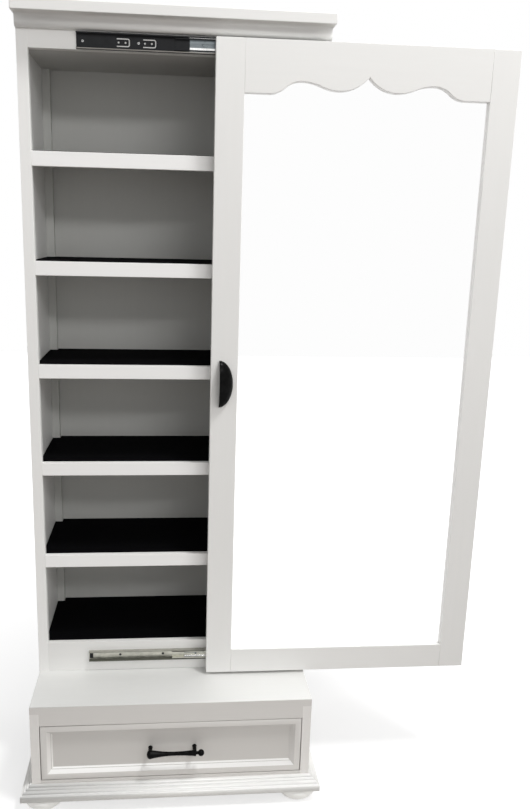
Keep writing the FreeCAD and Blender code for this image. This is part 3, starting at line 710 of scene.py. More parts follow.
class CABINET_OT_carcass(bpy.types.Operator):
    """Side panels, back, floor, ceiling, battens and face frame"""

    bl_idname = "cabinet.carcass"
    bl_label = "Carcass"

    def execute(self, context):
        arris = context.scene.cabinet_boards.arris
        for side in ("left", "right"):
            painted("side_panel_" + side, UPRIGHT, arris)
        painted("back_panel", UPRIGHT, 0, "inside")
        painted("rear_corner_battens", UPRIGHT, arris, "inside")
        painted("floor_panel", SIDEWAYS, 0, "inside")
        painted("ceiling_panel", SIDEWAYS, 0, "inside")
        # The face stiles take the face tone: painted light, a lighter copy of the white lacquer
        for side in ("left", "right"):
            painted("face_stile_" + side, UPRIGHT, arris, "face")
        painted("sill_rail", SIDEWAYS, arris / 2)
        # The head rail takes the face tone: painted light
        painted("head_rail", SIDEWAYS, arris / 2, "face")
        return {"FINISHED"}


class CABINET_OT_shelves(bpy.types.Operator):
    """Shelves with their lippings"""

    bl_idname = "cabinet.shelves"
    bl_label = "Shelves"

    count = 5

    def execute(self, context):
        arris = context.scene.cabinet_boards.arris
        batten_low, batten_high = solids("rear_corner_battens")[0]
        for number in range(1, self.count + 1):
            node = "shelf_%d" % number
            lo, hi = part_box(node)
            notch = lo.x + batten_high.x - batten_low.x
            left = [(lo.x, lo.y), (lo.x, batten_low.y), (notch, batten_low.y), (notch, hi.y)]
            outline = [(x, y, lo.z) for x, y in left + mirror(left, (lo.x + hi.x) / 2)]
            mesh = prism_mesh(node, outline, (0, 0, hi.z - lo.z), arris / 2)
            add_board(node, mesh, SIDEWAYS, "inside")
        lo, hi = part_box("shelf_lippings")
        pitch = high("shelf_4").z - high("shelf_5").z
        first = (hi.x, hi.y, hi.z - pitch * (self.count - 1))
        # The lippings take the bright tone: painted light, a lighter copy of the white lacquer
        mesh = grown_mesh("shelf_lippings_set", boards_mesh("lipping", [(lo, first)], arris),
                          stack_tree("stack at a pitch"),
                          {"Count": self.count, "Pitch": pitch,
                           "Material": lacquer(SIDEWAYS, "bright")})
        add_piece("shelf_lippings_set", mesh, "shelf_lippings")
        return {"FINISHED"}


class CABINET_OT_mats(bpy.types.Operator):
    """Black felt mats on the floor and the shelves"""

    bl_idname = "cabinet.mats"
    bl_label = "Shelf mats"

    wave = 0.25 * MM
    ripples = ((37, 1.7, 1), (91, 3.1, 0.5))
    wave_steps = 60
    shortest_waved = 0.4

    def execute(self, context):
        lo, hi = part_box("shelf_mats")
        stile = high("face_stile_left")
        margin = lo.x - low("floor_panel").x
        front_x, front_y = stile.x + margin, stile.y + margin
        batten_low, batten_high = solids("rear_corner_battens")[0]
        notch_x, notch_y = batten_high.x + margin, batten_low.y - margin
        left = [(front_x, lo.y), (front_x, front_y), (lo.x, front_y), (lo.x, notch_y),
                (notch_x, notch_y), (notch_x, hi.y)]
        outline = left + mirror(left, (lo.x + hi.x) / 2)
        sides = list(zip(outline, outline[1:] + outline[:1]))
        thickness = hi.z - high("shelf_1").z
        carriers = ["floor_panel"] + ["shelf_%d" % n for n in range(5, 0, -1)]
        for number, carrier in enumerate(carriers, 1):
            points = [(x, y + self.rippled(x, number) * (y == lo.y), high(carrier).z)
                      for x, y in self.stepped(sides)]
            mesh = prism_mesh("mat_%d" % number, points, (0, 0, thickness), thickness / 4)
            piece = add_piece("shelf_mat_%d" % number, mesh, "shelf_mats", "cabinet",
                              felt("black_felt"))
        return {"FINISHED"}

    def stepped(self, sides):
        """Points along an outline, close together on its long sides."""
        points = []
        for (x0, y0), (x1, y1) in sides:
            count = self.wave_steps if abs(x1 - x0) > self.shortest_waved else 1
            points += [(x0 + (x1 - x0) * i / count, y0 + (y1 - y0) * i / count)
                       for i in range(count)]
        return points

    def rippled(self, x, number):
        """How far a knife strayed at a place of a mat's front edge."""
        return abs(sum(height * math.sin(x * pace + number * shift)
                       for pace, shift, height in self.ripples)) * self.wave


class CABINET_OT_crown(bpy.types.Operator):
    """Crown board and curved frieze"""

    bl_idname = "cabinet.crown"
    bl_label = "Crown"

    foot = 4 * MM
    bulge = 15 * MM
    quarter = 11 * MM
    cove = 5 * MM
    cap = 20 * MM
    cove_steps = 6

    def execute(self, context):
        painted("crown_board", SIDEWAYS, context.scene.cabinet_boards.soft_arris)
        lo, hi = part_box("crown_frieze")
        section = [(0, lo.z), (self.foot, lo.z)]
        section += upright_arc((self.bulge, lo.z + self.quarter), (self.foot, lo.z))[-2::-1]
        section += upright_arc((self.bulge, hi.z - self.cove), (self.cap, hi.z),
                               self.cove_steps)
        section.append((0, hi.z))
        mesh = bpy.data.meshes.new("frieze_section")
        mesh.from_pydata([(lo.x, hi.y - out, level) for out, level in section], [],
                         [list(range(len(section)))])
        frieze = grown_mesh("crown_frieze_run", mesh, swept_tree("section along a path"),
                            {"Length": hi.x - lo.x, "Material": lacquer(SIDEWAYS)})
        bm = bmesh.new()
        bm.from_mesh(frieze)
        ease(bm)
        bm.to_mesh(frieze)
        bm.free()
        add_piece("crown_frieze_run", frieze, "crown_frieze")
        return {"FINISHED"}


class CABINET_OT_base(bpy.types.Operator):
    """The base box under the cabinet"""

    bl_idname = "cabinet.base"
    bl_label = "Base box"

    facing = 0.9

    def execute(self, context):
        edges = context.scene.cabinet_boards
        front, top = low("base_top").y, high("base_top").z
        opening = CABINET_MIDDLE - low("base_bottom_rail").x
        # The top takes the darker top tone, painted shade over the lamps' highlight; its front
        # edge takes the base tone, painted shade
        board = painted("base_top", SIDEWAYS, edges.soft_arris, "top",
                        test=lambda m: top - m.z < MM)
        board.data.materials.append(lacquer(SIDEWAYS, "base"))
        for polygon in board.data.polygons:
            polygon.material_index = int(polygon.normal.y < -self.facing)
        painted("base_side_left", DEEP)
        painted("base_side_right", DEEP)
        painted("base_stiles", UPRIGHT, edges.arris / 2, "stile",
                test=lambda m: (m.y - front < MM
                                and abs(abs(m.x - CABINET_MIDDLE) - opening) < MM))
        # The rails take the base tone: painted shade, a darker copy of the white lacquer for the
        # dimmer light low on the cabinet
        for node, level in (("base_bottom_rail", high("base_bottom_rail").z),
                            ("base_top_rail", low("base_top_rail").z)):
            painted(node, SIDEWAYS, edges.arris / 2, "base",
                    test=lambda m: m.y - front < MM and abs(m.z - level) < MM)
        painted("base_back", SIDEWAYS, 0, "inside")
        painted("base_bottom", SIDEWAYS, 0, "inside")
        return {"FINISHED"}


class CABINET_OT_plinth(bpy.types.Operator):
    """Stepped plinth moulding with mitred returns"""

    bl_idname = "cabinet.plinth"
    bl_label = "Plinth moulding"

    band = 14 * MM
    bead = 3 * MM
    quirk = 3 * MM
    step = 2 * MM
    fall = 4 * MM
    run = 6.5 * MM
    bead_steps, step_steps = 5, 6
    facing = 0.1

    def section(self, reach, floor, top):
        """Projection and height of the moulding, from its foot up."""
        level = floor + self.band
        points = [(0, floor), (reach, floor), (reach, level)]
        points += upright_arc((reach, level), (reach - self.bead, level + self.bead),
                              self.bead_steps)[1:]
        reach -= self.bead + self.quirk
        level += self.bead
        points += [(reach, level), (reach, level + self.quirk)]
        level += self.quirk
        for fall in (self.fall, self.step):
            points += upright_arc((reach, level), (reach - self.run, level + fall),
                                  self.step_steps)[1:]
            reach -= self.run
            level += fall + self.step
            points.append((reach, level))
        return points + upright_arc((reach, level), (0, top), self.step_steps)[1:]

    def execute(self, context):
        lo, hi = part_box("plinth_moulding_front")
        left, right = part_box("base_stiles")
        back = high("plinth_moulding_returns").y
        section = self.section(left.y - lo.y, lo.z, hi.z)
        mitres = [[(x + way * out, left.y - out, z) for out, z in section]
                  for x, way in ((left.x, -1), (right.x, 1))]
        bm = bmesh.new()
        loft(bm, [ring(bm, mitre) for mitre in mitres])
        mesh = eased_mesh(bm, "plinth_front")
        add_piece("plinth_front_run", mesh, "plinth_moulding_front",
                  material=lacquer(SIDEWAYS))
        # Faces that face up take the bright tone: painted light from above
        mesh.materials.append(lacquer(SIDEWAYS, "bright"))
        for polygon in mesh.polygons:
            polygon.material_index = int(polygon.normal.z > self.facing)
        bm = bmesh.new()
        for mitre in mitres:
            loft(bm, [ring(bm, mitre), ring(bm, [(x, back, z) for x, y, z in mitre])])
        add_piece("plinth_return_runs", eased_mesh(bm, "plinth_returns"),
                  "plinth_moulding_returns", material=lacquer(DEEP))
        return {"FINISHED"}


class CABINET_OT_feet(bpy.types.Operator):
    """Four turned bun feet"""

    bl_idname = "cabinet.feet"
    bl_label = "Bun feet"

    sole = 22 * MM
    sole_share = 0.96
    belly = 52 * MM
    belly_height = 26 * MM
    shoulder = 47 * MM
    shoulder_height = 33 * MM
    neck = 42 * MM
    rim = 0.4 * MM
    fillet = 1.6 * MM
    belly_steps, shoulder_steps = 14, 12
    segments = 72

    def execute(self, context):
        lo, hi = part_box("bun_feet")
        belly = (self.belly, self.belly_height)
        profile = [(0, 0), (self.sole * self.sole_share, 0)]
        profile += upright_arc(belly, (self.sole, self.rim), self.belly_steps)[::-1]
        profile += upright_arc(belly, (self.shoulder, self.shoulder_height),
                               self.shoulder_steps)[1:]
        profile += [(self.shoulder - self.fillet, self.shoulder_height + self.rim),
                    (self.neck, self.shoulder_height + self.fillet),
                    (self.neck, hi.z - lo.z), (0, hi.z - lo.z)]
        foot = turned_mesh("bun_foot", profile, (0, 0, 1), (0, 0, 0), self.segments)
        places = [(x, y, lo.z) for x in (lo.x + self.belly, hi.x - self.belly)
                  for y in (lo.y + self.belly, hi.y - self.belly)]
        mesh = copies_mesh("bun_feet_set", foot, places, lacquer(SIDEWAYS))
        add_piece("bun_feet_set", mesh, "bun_feet")
        return {"FINISHED"}


class CABINET_OT_drawer(bpy.types.Operator):
    """Drawer front with a bevelled recess, and the drawer box"""

    bl_idname = "cabinet.drawer"
    bl_label = "Drawer"

    land = 1.6 * MM
    swell = 0.5 * MM
    steps = 7
    round_share = 0.3
    lip_share = 0.6
    bead_powers = (0.8, 1.1)
    facing = 0.3

    def execute(self, context):
        arris = context.scene.cabinet_boards.arris
        shape = context.scene.cabinet_drawer
        lo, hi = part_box("drawer_front")
        mesh = self.front_mesh(shape, arris, lo, hi)
        # The frame takes the base tone, painted shade; tone() gives the panel and the slopes their
        # painted light and shade
        add_board("drawer_front", mesh, SIDEWAYS, "base", "drawer")
        for tone in ("panel", "bright", "stile", "shade"):
            mesh.materials.append(lacquer(SIDEWAYS, tone))
        floor = lo.y + shape.bevel_depth + shape.bead_depth
        for polygon in mesh.polygons:
            x, y, z = polygon.center
            rim = min(z - lo.z, hi.z - z, x - lo.x, hi.x - x)
            if rim > shape.frame_width and y <= floor + MM:
                polygon.material_index = self.tone(polygon.normal)
        painted("drawer_side_left", DEEP, arris, "inside", "drawer")
        painted("drawer_side_right", DEEP, arris, "inside", "drawer")
        painted("drawer_box_back", SIDEWAYS, arris, "inside", "drawer")
        painted("drawer_bottom", SIDEWAYS, 0, "inside", "drawer")
        return {"FINISHED"}

    def tone(self, facing):
        """Place among the materials by the way a face looks: painted light where it faces up or
        right, painted shade on the panel and where it faces down or left.
        """
        if facing.z > self.facing:
            return 2
        if facing.x > self.facing:
            return 3
        return 4 if min(facing.z, facing.x) < -self.facing else 1

    def front_mesh(self, shape, arris, lo, hi):
        """Rings from the back over the frame, down the two slopes to the panel."""
        inset = shape.frame_width
        lip, turned = arris * self.lip_share, arris * self.round_share
        levels = [(0, hi.y), (0, lo.y + arris), (turned, lo.y + turned), (arris, lo.y),
                  (inset - arris, lo.y), (inset, lo.y + lip)]
        for share in shares(self.steps):
            swell = math.sin(share * math.pi) * self.swell
            levels.append((inset + (shape.bevel_run - self.land) * share,
                           lo.y + lip + (shape.bevel_depth - lip) * share - swell))
        inset += shape.bevel_run
        deep = lo.y + shape.bevel_depth
        levels.append((inset, deep))
        run_power, fall_power = self.bead_powers
        for turn in quarter_turns(self.steps)[1:]:
            levels.append((inset + shape.bead_run * (1 - math.cos(turn)) ** run_power,
                           deep + shape.bead_depth * math.sin(turn) ** fall_power))
        bm = bmesh.new()
        loft(bm, [ring(bm, [(lo.x + s, y, lo.z + s), (hi.x - s, y, lo.z + s),
                            (hi.x - s, y, hi.z - s), (lo.x + s, y, hi.z - s)])
                  for s, y in levels])
        return eased_mesh(bm, "drawer_front")


class CABINET_OT_bar_pull(bpy.types.Operator):
    """The turned bar pull on the drawer, with its posts"""

    bl_idname = "cabinet.bar_pull"
    bl_label = "Bar pull"

    reach = 27 * MM
    flare = 0.8 * MM
    flare_height = 3 * MM
    butt_length = 8.5 * MM
    waist_place = 7 * MM
    tail_length = 2.5 * MM
    lip = 0.7 * MM
    lip_fall, lip_run = 1 / 3, 0.7
    neck_length = 6 * MM
    curve_power = 2.2
    butt_steps, waist_steps, tail_steps, ball_steps = 12, 24, 18, 20
    flare_steps = 6
    bar_segments, post_segments = 40, 32

    def execute(self, context):
        pull = context.scene.cabinet_pulls
        lo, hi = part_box("drawer_pull")
        centre = Vector((CABINET_MIDDLE, lo.y + pull.butt_radius, (lo.z + hi.z) / 2))
        foot = pull.post_radius + self.flare
        post = [(0, 0), (foot, 0)]
        post += upright_arc((pull.post_radius, self.flare_height), (foot, self.flare),
                            self.flare_steps)[::-1]
        post += [(pull.post_radius, self.reach), (0, self.reach)]
        parts = [turned_mesh("bar", self.profile(pull), (1, 0, 0), centre,
                             self.bar_segments)]
        for side in (-1, 1):
            root = centre + Vector((side * pull.post_spacing / 2, self.reach, 0))
            parts.append(turned_mesh("post", post, (0, -1, 0), root, self.post_segments))
        add_piece("drawer_bar_pull", joined("drawer_bar_pull", parts), "drawer_pull", "drawer",
                  black_iron("iron_coat"))
        return {"FINISHED"}

    def profile(self, pull):
        """(radius, place) of the turned bar, its places from the middle of the posts."""
        butt, waist, tail = pull.butt_radius, pull.waist_radius, pull.tail_radius
        neck, ball = pull.neck_radius, pull.ball_radius
        left, right = -pull.post_spacing / 2, pull.post_spacing / 2 + self.tail_length
        points = [(0, left - self.butt_length)]
        for turn in quarter_turns(self.butt_steps)[1:]:
            points.append((butt * math.sin(turn), left - self.butt_length * math.cos(turn)))
        points += [(waist + (butt - waist) * (1 - share) ** self.curve_power,
                    left + (self.waist_place - left) * share)
                   for share in shares(self.waist_steps)]
        points += [(waist + (tail - waist) * share ** self.curve_power,
                    self.waist_place + (right - self.waist_place) * share)
                   for share in shares(self.tail_steps)]
        collar = right + self.lip
        points += [(tail - self.lip * self.lip_fall, right + self.lip * self.lip_run),
                   (tail - self.lip, collar), (neck, collar)]
        centre = right + self.neck_length + math.sqrt(ball ** 2 - neck ** 2)
        start = math.pi - math.asin(neck / ball)
        for turn in [start * (1 - share) for share in [0] + shares(self.ball_steps)[:-1]]:
            points.append((ball * math.sin(turn), centre + ball * math.cos(turn)))
        return points + [(0, centre + ball)]


class CABINET_OT_door(bpy.types.Operator):
    """Door stiles, bottom rail and the scalloped top rail"""

    bl_idname = "cabinet.door"
    bl_label = "Door frame"

    lip = 10 * MM
    rebate = 10 * MM
    play = 0.5 * MM
    stile_arris_share = 0.7
    flat_angle = 0.5
    cusp_steps = 14

    def execute(self, context):
        edges = context.scene.cabinet_boards
        for node, way in (("door_stile_left", 1), ("door_stile_right", -1)):
            mesh = self.stile_mesh(node, way, edges.soft_arris * self.stile_arris_share)
            add_board(node, mesh, UPRIGHT, body="door")
        lo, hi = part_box("door_bottom_rail")
        lip, step = lo.y + self.lip, hi.z - self.rebate
        section = [(lo.y, lo.z), (hi.y, lo.z), (hi.y, step), (lip, step), (lip, hi.z),
                   (lo.y, hi.z)]
        mesh = prism_mesh("bottom_rail", [(lo.x, y, z) for y, z in section],
                          (hi.x - lo.x, 0, 0), edges.arris)
        add_board("door_bottom_rail", mesh, SIDEWAYS, body="door")
        mesh = self.top_rail_mesh(context.scene.cabinet_scallop, edges.arris)
        add_board("door_top_rail", mesh, SIDEWAYS, body="door")
        return {"FINISHED"}

    def stile_mesh(self, node, way, arris):
        """A stile with a rebate for the glass on its inner side, stopped at both ends."""
        lo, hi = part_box(node)
        outer, inner = (lo.x, hi.x)[::way]
        seat = inner - way * self.rebate
        lip = DOOR_FRONT + self.lip
        full = [(outer, DOOR_FRONT), (inner, DOOR_FRONT), (inner, lip), (inner, DOOR_BACK),
                (seat, DOOR_BACK), (outer, DOOR_BACK)]
        levels = (lo.z, low("mirror_glass").z - self.play, high("mirror_glass").z + self.play,
                  hi.z)
        bm = bmesh.new()
        bottom, foot, head, top = [ring(bm, [(x, y, z) for x, y in full]) for z in levels]
        cuts = [rows[:3] + ring(bm, [(seat, lip, rows[0].co.z)]) + rows[4:]
                for rows in (foot, head)]
        loft(bm, [bottom, foot, *cuts, head, top])
        bmesh.ops.dissolve_limit(bm, angle_limit=math.radians(self.flat_angle),
                                 verts=bm.verts, edges=bm.edges)
        return eased_mesh(bm, node, arris)

    def top_rail_mesh(self, shape, arris):
        """The lip with its scallops and the block behind it."""
        lo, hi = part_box("door_top_rail")
        half = (hi.x - lo.x) / 2
        shoulder = Vector((shape.shoulder_place, lo.z))
        crest = Vector((shape.crest_place, lo.z + shape.crest_rise))
        trough = Vector((shape.trough_place, lo.z + shape.trough_rise))
        cusp = (0, lo.z + shape.cusp_rise)
        rise = (shoulder + crest) / 2
        fall = (crest + trough) / 2
        side = [(half, hi.z), (half, lo.z)] + level_arc(shoulder, rise)
        side += level_arc(crest, rise)[-2::-1] + level_arc(crest, fall)[1:]
        side += level_arc(trough, fall)[-2::-1] + level_arc(trough, cusp, self.cusp_steps)[1:]
        outline = [((lo.x + hi.x) / 2 + x, lo.y, z) for x, z in side + mirror(side[:-1])]
        block = (lo.x, lo.y + self.lip, high("mirror_glass").z + self.play)
        return joined("door_top_rail", [prism_mesh("lip", outline, (0, self.lip, 0), arris),
                                        boards_mesh("block", [(block, hi)], arris / 2)])


class CABINET_OT_mirror(bpy.types.Operator):
    """Mirror glass and its backing board"""

    bl_idname = "cabinet.mirror"
    bl_label = "Mirror"

    def execute(self, context):
        arris = context.scene.cabinet_boards.arris
        mesh = boards_mesh("mirror_plate", solids("mirror_glass"), arris)
        add_piece("mirror_plate", mesh, "mirror_glass", "door",
                  mirror_silver("mirror_silver"))
        mesh = boards_mesh("mirror_backing", solids("door_back_board"))
        add_piece("mirror_backing", mesh, "door_back_board", "door",
                  fibreboard("fibreboard"))
        return {"FINISHED"}


class CABINET_OT_cup_pull(bpy.types.Operator):
    """The half-moon cup pull on the door"""

    bl_idname = "cabinet.cup_pull"
    bl_label = "Cup pull"

    boss_radius = 4 * MM
    boss_place = 40 * MM
    boss_inset = 11 * MM
    boss_share = 0.82
    boss_segments = 24
    across, along = 14, 40
    rim_angle, rim_share, rim_segments = 50, 0.3, 3

    def execute(self, context):
        wall = context.scene.cabinet_pulls.cup_wall
        lo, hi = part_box("door_cup_pull")
        root = Vector((lo.x, hi.y, (lo.z + hi.z) / 2))
        size = Vector((hi.x - lo.x, hi.y - lo.y, (hi.z - lo.z) / 2))
        bm = bmesh.new()
        outer = self.skin(bm, root, size)
        inner = self.skin(bm, root, size - Vector((wall, wall, wall)))
        for end in (0, -1):
            self.strip(bm, outer[end], inner[end])
        bmesh.ops.remove_doubles(bm, verts=bm.verts, dist=0.001 * MM)
        bmesh.ops.recalc_face_normals(bm, faces=bm.faces)
        bevelled(bm, corner_edges(bm, self.rim_angle), wall * self.rim_share, self.rim_segments)
        for face in bm.faces:
            face.smooth = True
        parts = [mesh_of(bm, "shell")]
        depth = size.y * self.boss_share * math.sqrt(1 - (self.boss_place / size.z) ** 2
                                                     - (self.boss_inset / size.x) ** 2)
        boss = [(0, 0), (self.boss_radius, 0), (self.boss_radius, depth), (0, depth)]
        for side in (-1, 1):
            place = root + Vector((self.boss_inset, 0, side * self.boss_place))
            parts.append(turned_mesh("boss", boss, (0, -1, 0), place, self.boss_segments))
        add_piece("door_cup_pull_shell", joined("door_cup_pull_shell", parts), "door_cup_pull",
                  "door", black_iron("iron_coat"))
        return {"FINISHED"}

    def skin(self, bm, root, size):
        """Rows of a quarter of an ellipsoid, from the mouth to the door."""
        rows = []
        for turn in quarter_turns(self.across):
            level, deep = math.sin(turn), math.cos(turn)
            rows.append(ring(bm, [root + Vector((size.x * math.sin(a) * level,
                                                 -size.y * math.sin(a) * deep,
                                                 size.z * math.cos(a)))
                                  for a in [math.pi * s for s in [0] + shares(self.along)]]))
        for near, far in zip(rows, rows[1:]):
            self.strip(bm, near, far)
        return rows

    def strip(self, bm, near, far):
        """Faces between two rows, left out where their corners are one point."""
        for corners in zip(near, near[1:], far[1:], far):
            apart = [v for i, v in enumerate(corners)
                     if (v.co - corners[i - 1].co).length > 1e-7]
            if len(apart) > 2:
                bm.faces.new(apart)


class CABINET_OT_slides(bpy.types.Operator):
    """Colours of the ball-bearing slides and their cages, and the plates at their ends; the upper
    slide's dark colour is a painted dark reflection and shade
    """

    bl_idname = "cabinet.slides"
    bl_label = "Slides"

    lip_thickness = 0.5 * MM
    lip_height = 2.5 * MM
    plate_length = 9 * MM
    plate_thickness = 0.9 * MM
    plate_arris = 0.3 * MM
    wall = 1.2 * MM
    upper_lip_share = 0.8
    lower_lip_share = 0.27
    lip_arris_share = 0.45
    margin_share = 0.2

    def execute(self, context):
        # The upper slide is painted dark: a painted reflection and shade on a zinc slide like the
        # lower one
        for steel_colour, nodes in (
                ("dark_plate", ("top_slide_outer", "top_slide_middle", "top_slide_inner")),
                ("zinc_plate", ("bottom_slide_outer", "bottom_slide_middle",
                                "bottom_slide_inner", "drawer_slide_outers",
                                "drawer_slide_inners")),
                ("bright_steel", ("outer_ball_cages", "inner_ball_cages",
                                  "drawer_slide_cages"))):
            for node in nodes:
                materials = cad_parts[node].data.materials
                materials.clear()
                materials.append(steel(steel_colour))
        self.shade_lips("bottom_slide_outer")
        # A thin pale strip along the upper slide's lower lip: a painted highlight where the lip
        # catches light
        lo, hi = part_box("top_slide_outer")
        lip = (hi.x, lo.y - self.lip_thickness, lo.z + self.lip_height)
        mesh = boards_mesh("top_slide_lip", [(lo, lip)],
                           self.lip_thickness * self.lip_arris_share)
        add_piece("top_slide_lip", mesh, None, "cabinet", steel("worn_edge"))
        plates = []
        for node in ("top_slide_outer", "bottom_slide_outer"):
            lo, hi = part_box(node)
            margin = (hi.z - lo.z) * self.margin_share
            back = hi.y - self.wall
            for start in (lo.x + self.wall, hi.x - self.wall - self.plate_length):
                plates.append([(start, back, lo.z + margin),
                               (start + self.plate_length, back - self.plate_thickness,
                                hi.z - margin)])
        add_piece("slide_end_plates", boards_mesh("slide_end_plates", plates, self.plate_arris),
                  None, "cabinet", steel("dark_plate"))
        return {"FINISHED"}

    def shade_lips(self, node):
        """Painted shade: darker zinc in an outer member's two lips than on its web."""
        lo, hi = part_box(node)
        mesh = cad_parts[node].data
        mesh.materials.append(steel("lip_zinc"))
        mesh.materials.append(steel("deep_zinc"))
        for polygon in mesh.polygons:
            rise = (polygon.center.z - lo.z) / (hi.z - lo.z)
            if polygon.center.y > hi.y - self.wall * 3 / 2:
                continue
            if rise > self.upper_lip_share:
                polygon.material_index = 1
            elif rise < self.lower_lip_share:
                polygon.material_index = 2


class CABINET_OT_stops(bpy.types.Operator):
    """The stamped stops on the middle members, with raised strips and a rivet"""

    bl_idname = "cabinet.stops"
    bl_label = "Slide stops"

    sheet = 0.6 * MM
    gap = 0.15 * MM
    upper_share = 0.28
    lower_share = 0.46
    rivet_radius = 2.5 * MM
    dome_share = 0.2
    dome_steps, dome_segments = 6, 20

    def execute(self, context):
        boxes = sorted(solids("slide_stop_clips"), key=lambda box: box[0].z)
        for name, box, body, runner in (
                ("low_slide_stop", boxes[0], "zinc_plate", "bottom_slide_inner"),
                ("top_slide_stop", boxes[-1], "grey_steel", "top_slide_inner")):
            mesh = self.stop_mesh(name, box, high(runner).y + self.gap)
            add_piece(name, mesh, "slide_stop_clips", "door_slide_middles")
            for steel_colour in (body, "grey_steel", "bright_steel"):
                mesh.materials.append(steel(steel_colour))
        return {"FINISHED"}

    def stop_mesh(self, name, box, strip):
        """A bent sheet from flange to flange, its strips raised to a plane, and its rivet."""
        lo, hi = box
        level = (lo.z + hi.z) / 2
        half = (hi.z - lo.z) / 2
        upper = level + half * self.upper_share
        lower = level - half * self.lower_share
        back, front, wall = hi.y, lo.y, self.sheet
        section = [(back, hi.z), (front, hi.z), (front, hi.z - wall), (strip, hi.z - wall),
                   (strip, upper), (back - wall, upper), (back - wall, lower), (strip, lower),
                   (strip, lo.z + wall), (front, lo.z + wall), (front, lo.z), (back, lo.z)]
        bm = bmesh.new()
        bm_prism(bm, [(lo.x, y, z) for y, z in section], (hi.x - lo.x, 0, 0))
        ease(bm, wall / 4)
        # The upper raised strip takes grey steel, painted shade, and the lower one bright steel, a
        # painted highlight where it catches light from above
        for face in bm.faces:
            centre = face.calc_center_median()
            if centre.y < strip + self.gap:
                face.material_index = 1 if centre.z > level else 2
        radius, rise = self.rivet_radius, self.rivet_radius * self.dome_share
        dome = [(radius * math.cos(turn), rise * math.sin(turn))
                for turn in quarter_turns(self.dome_steps)[:-1]]
        rivet = turned_mesh("rivet", [(0, 0)] + dome + [(0, rise)], (0, -1, 0),
                            ((lo.x + hi.x) / 2, back - wall, level), self.dome_segments)
        for polygon in rivet.polygons:
            polygon.material_index = 1
        return joined(name, [mesh_of(bm, name + "_sheet"), rivet])


# Disc, arms and half width of a screw's cross, and its lip and depth, as shares of the head
DISC_SHARE, ARM_SHARE, CROSS_SHARE = 0.7, 0.6, 0.16
LIP_SHARE, DEPTH_SHARE, TAPER_SHARE = 0.2, 0.75, 0.6
SCREW_SIDES = 28


def cross_screw(name, head_radius, head_height, shank_radius, length, way):
    """A screw with a cross recess, its face at the origin and turned to -y or +y."""
    lip = head_height * LIP_SHARE
    arm = head_radius * ARM_SHARE
    half = head_radius * CROSS_SHARE
    quarter = [(arm, half), (half, half), (half, arm)]
    upper = quarter + mirror(quarter)
    cross = upper + [(-a, -b) for a, b in upper]
    bm = bmesh.new()

    def loop(points, depth=0):
        return ring(bm, [(a, -way * depth, b) for a, b in points])

    rim = loop(circle(head_radius - lip, SCREW_SIDES))
    disc = loop(circle(head_radius * DISC_SHARE, SCREW_SIDES))
    mouth = loop(cross)
    deep = loop([(a * TAPER_SHARE, b * TAPER_SHARE) for a, b in cross],
                head_height * DEPTH_SHARE)
    turned = [(head_radius, lip), (head_radius, head_height), (shank_radius, head_height),
              (shank_radius, length - 2 * shank_radius), (shank_radius / 6, length)]
    rings = [disc, rim] + [loop(circle(radius, SCREW_SIDES), depth) for radius, depth in turned]
    for near, far in zip(rings, rings[1:]):
        bridge(bm, near, far)
    bridge(bm, mouth, deep)
    bm.faces.new(rings[-1])
    bm.faces.new(deep)
    edges = [bm.edges.get((corners[i - 1], corners[i])) for corners in (disc, mouth)
             for i in range(len(corners))]
    bmesh.ops.triangle_fill(bm, edges=edges, use_beauty=True)
    bmesh.ops.recalc_face_normals(bm, faces=bm.faces)
    return mesh_of(bm, name)


class CABINET_OT_screws(bpy.types.Operator):
    """Screws of the slides and of the pulls, with cross recesses"""

    bl_idname = "cabinet.screws"
    bl_label = "Screws"

    web = 1.2 * MM
    slide_shank = 1.8 * MM
    pull_head = 2.5 * MM
    pull_shank = 2 * MM

    def execute(self, context):
        level = middle("face_stile_left").z
        slide = (self.web, self.slide_shank)
        pull = (self.pull_head, self.pull_shank)
        boxes = solids("slide_screws_cabinet")
        # The upper slide's screws have dark heads with a bright disc: a painted glint
        self.row("top_slide_screws", "slide_screws_cabinet", "cabinet", -1, slide, "dark_plate",
                 [box for box in boxes if box[0].z > level], "bright_steel")
        self.row("low_slide_screws", "slide_screws_cabinet", "cabinet", -1, slide, "dark_plate",
                 [box for box in boxes if box[0].z < level])
        for name, node, body, size in (("door_slide_screws", "slide_screws_door", "door", slide),
                                       ("cup_pull_screws", "door_pull_screws", "door", pull),
                                       ("bar_pull_screws", "drawer_pull_screws", "drawer", pull)):
            self.row(name, node, body, 1, size, "bright_steel", solids(node))
        return {"FINISHED"}

    def row(self, name, node, body, way, size, steel_colour, boxes, disc=None):
        """Copies of one screw, their faces at the front or the back of the boxes."""
        lo, hi = boxes[0]
        radius = (hi.x - lo.x) / 2
        screw = cross_screw(name + "_one", radius, *size, hi.y - lo.y, way)
        places = [((a.x + b.x) / 2, a.y if way < 0 else b.y, (a.z + b.z) / 2) for a, b in boxes]
        mesh = copies_mesh(name, screw, places, steel(steel_colour))
        # A painted glint: the flat disc of each head in bright steel
        if disc:
            mesh.materials.append(steel(disc))
            for polygon in mesh.polygons:
                x, y, z = polygon.center
                near = min(math.hypot(x - a, z - c) for a, b, c in places)
                if near < radius * DISC_SHARE and abs(places[0][1] - y) < MM / 20:
                    polygon.material_index = len(mesh.materials) - 1
        add_piece(name, mesh, node, body)


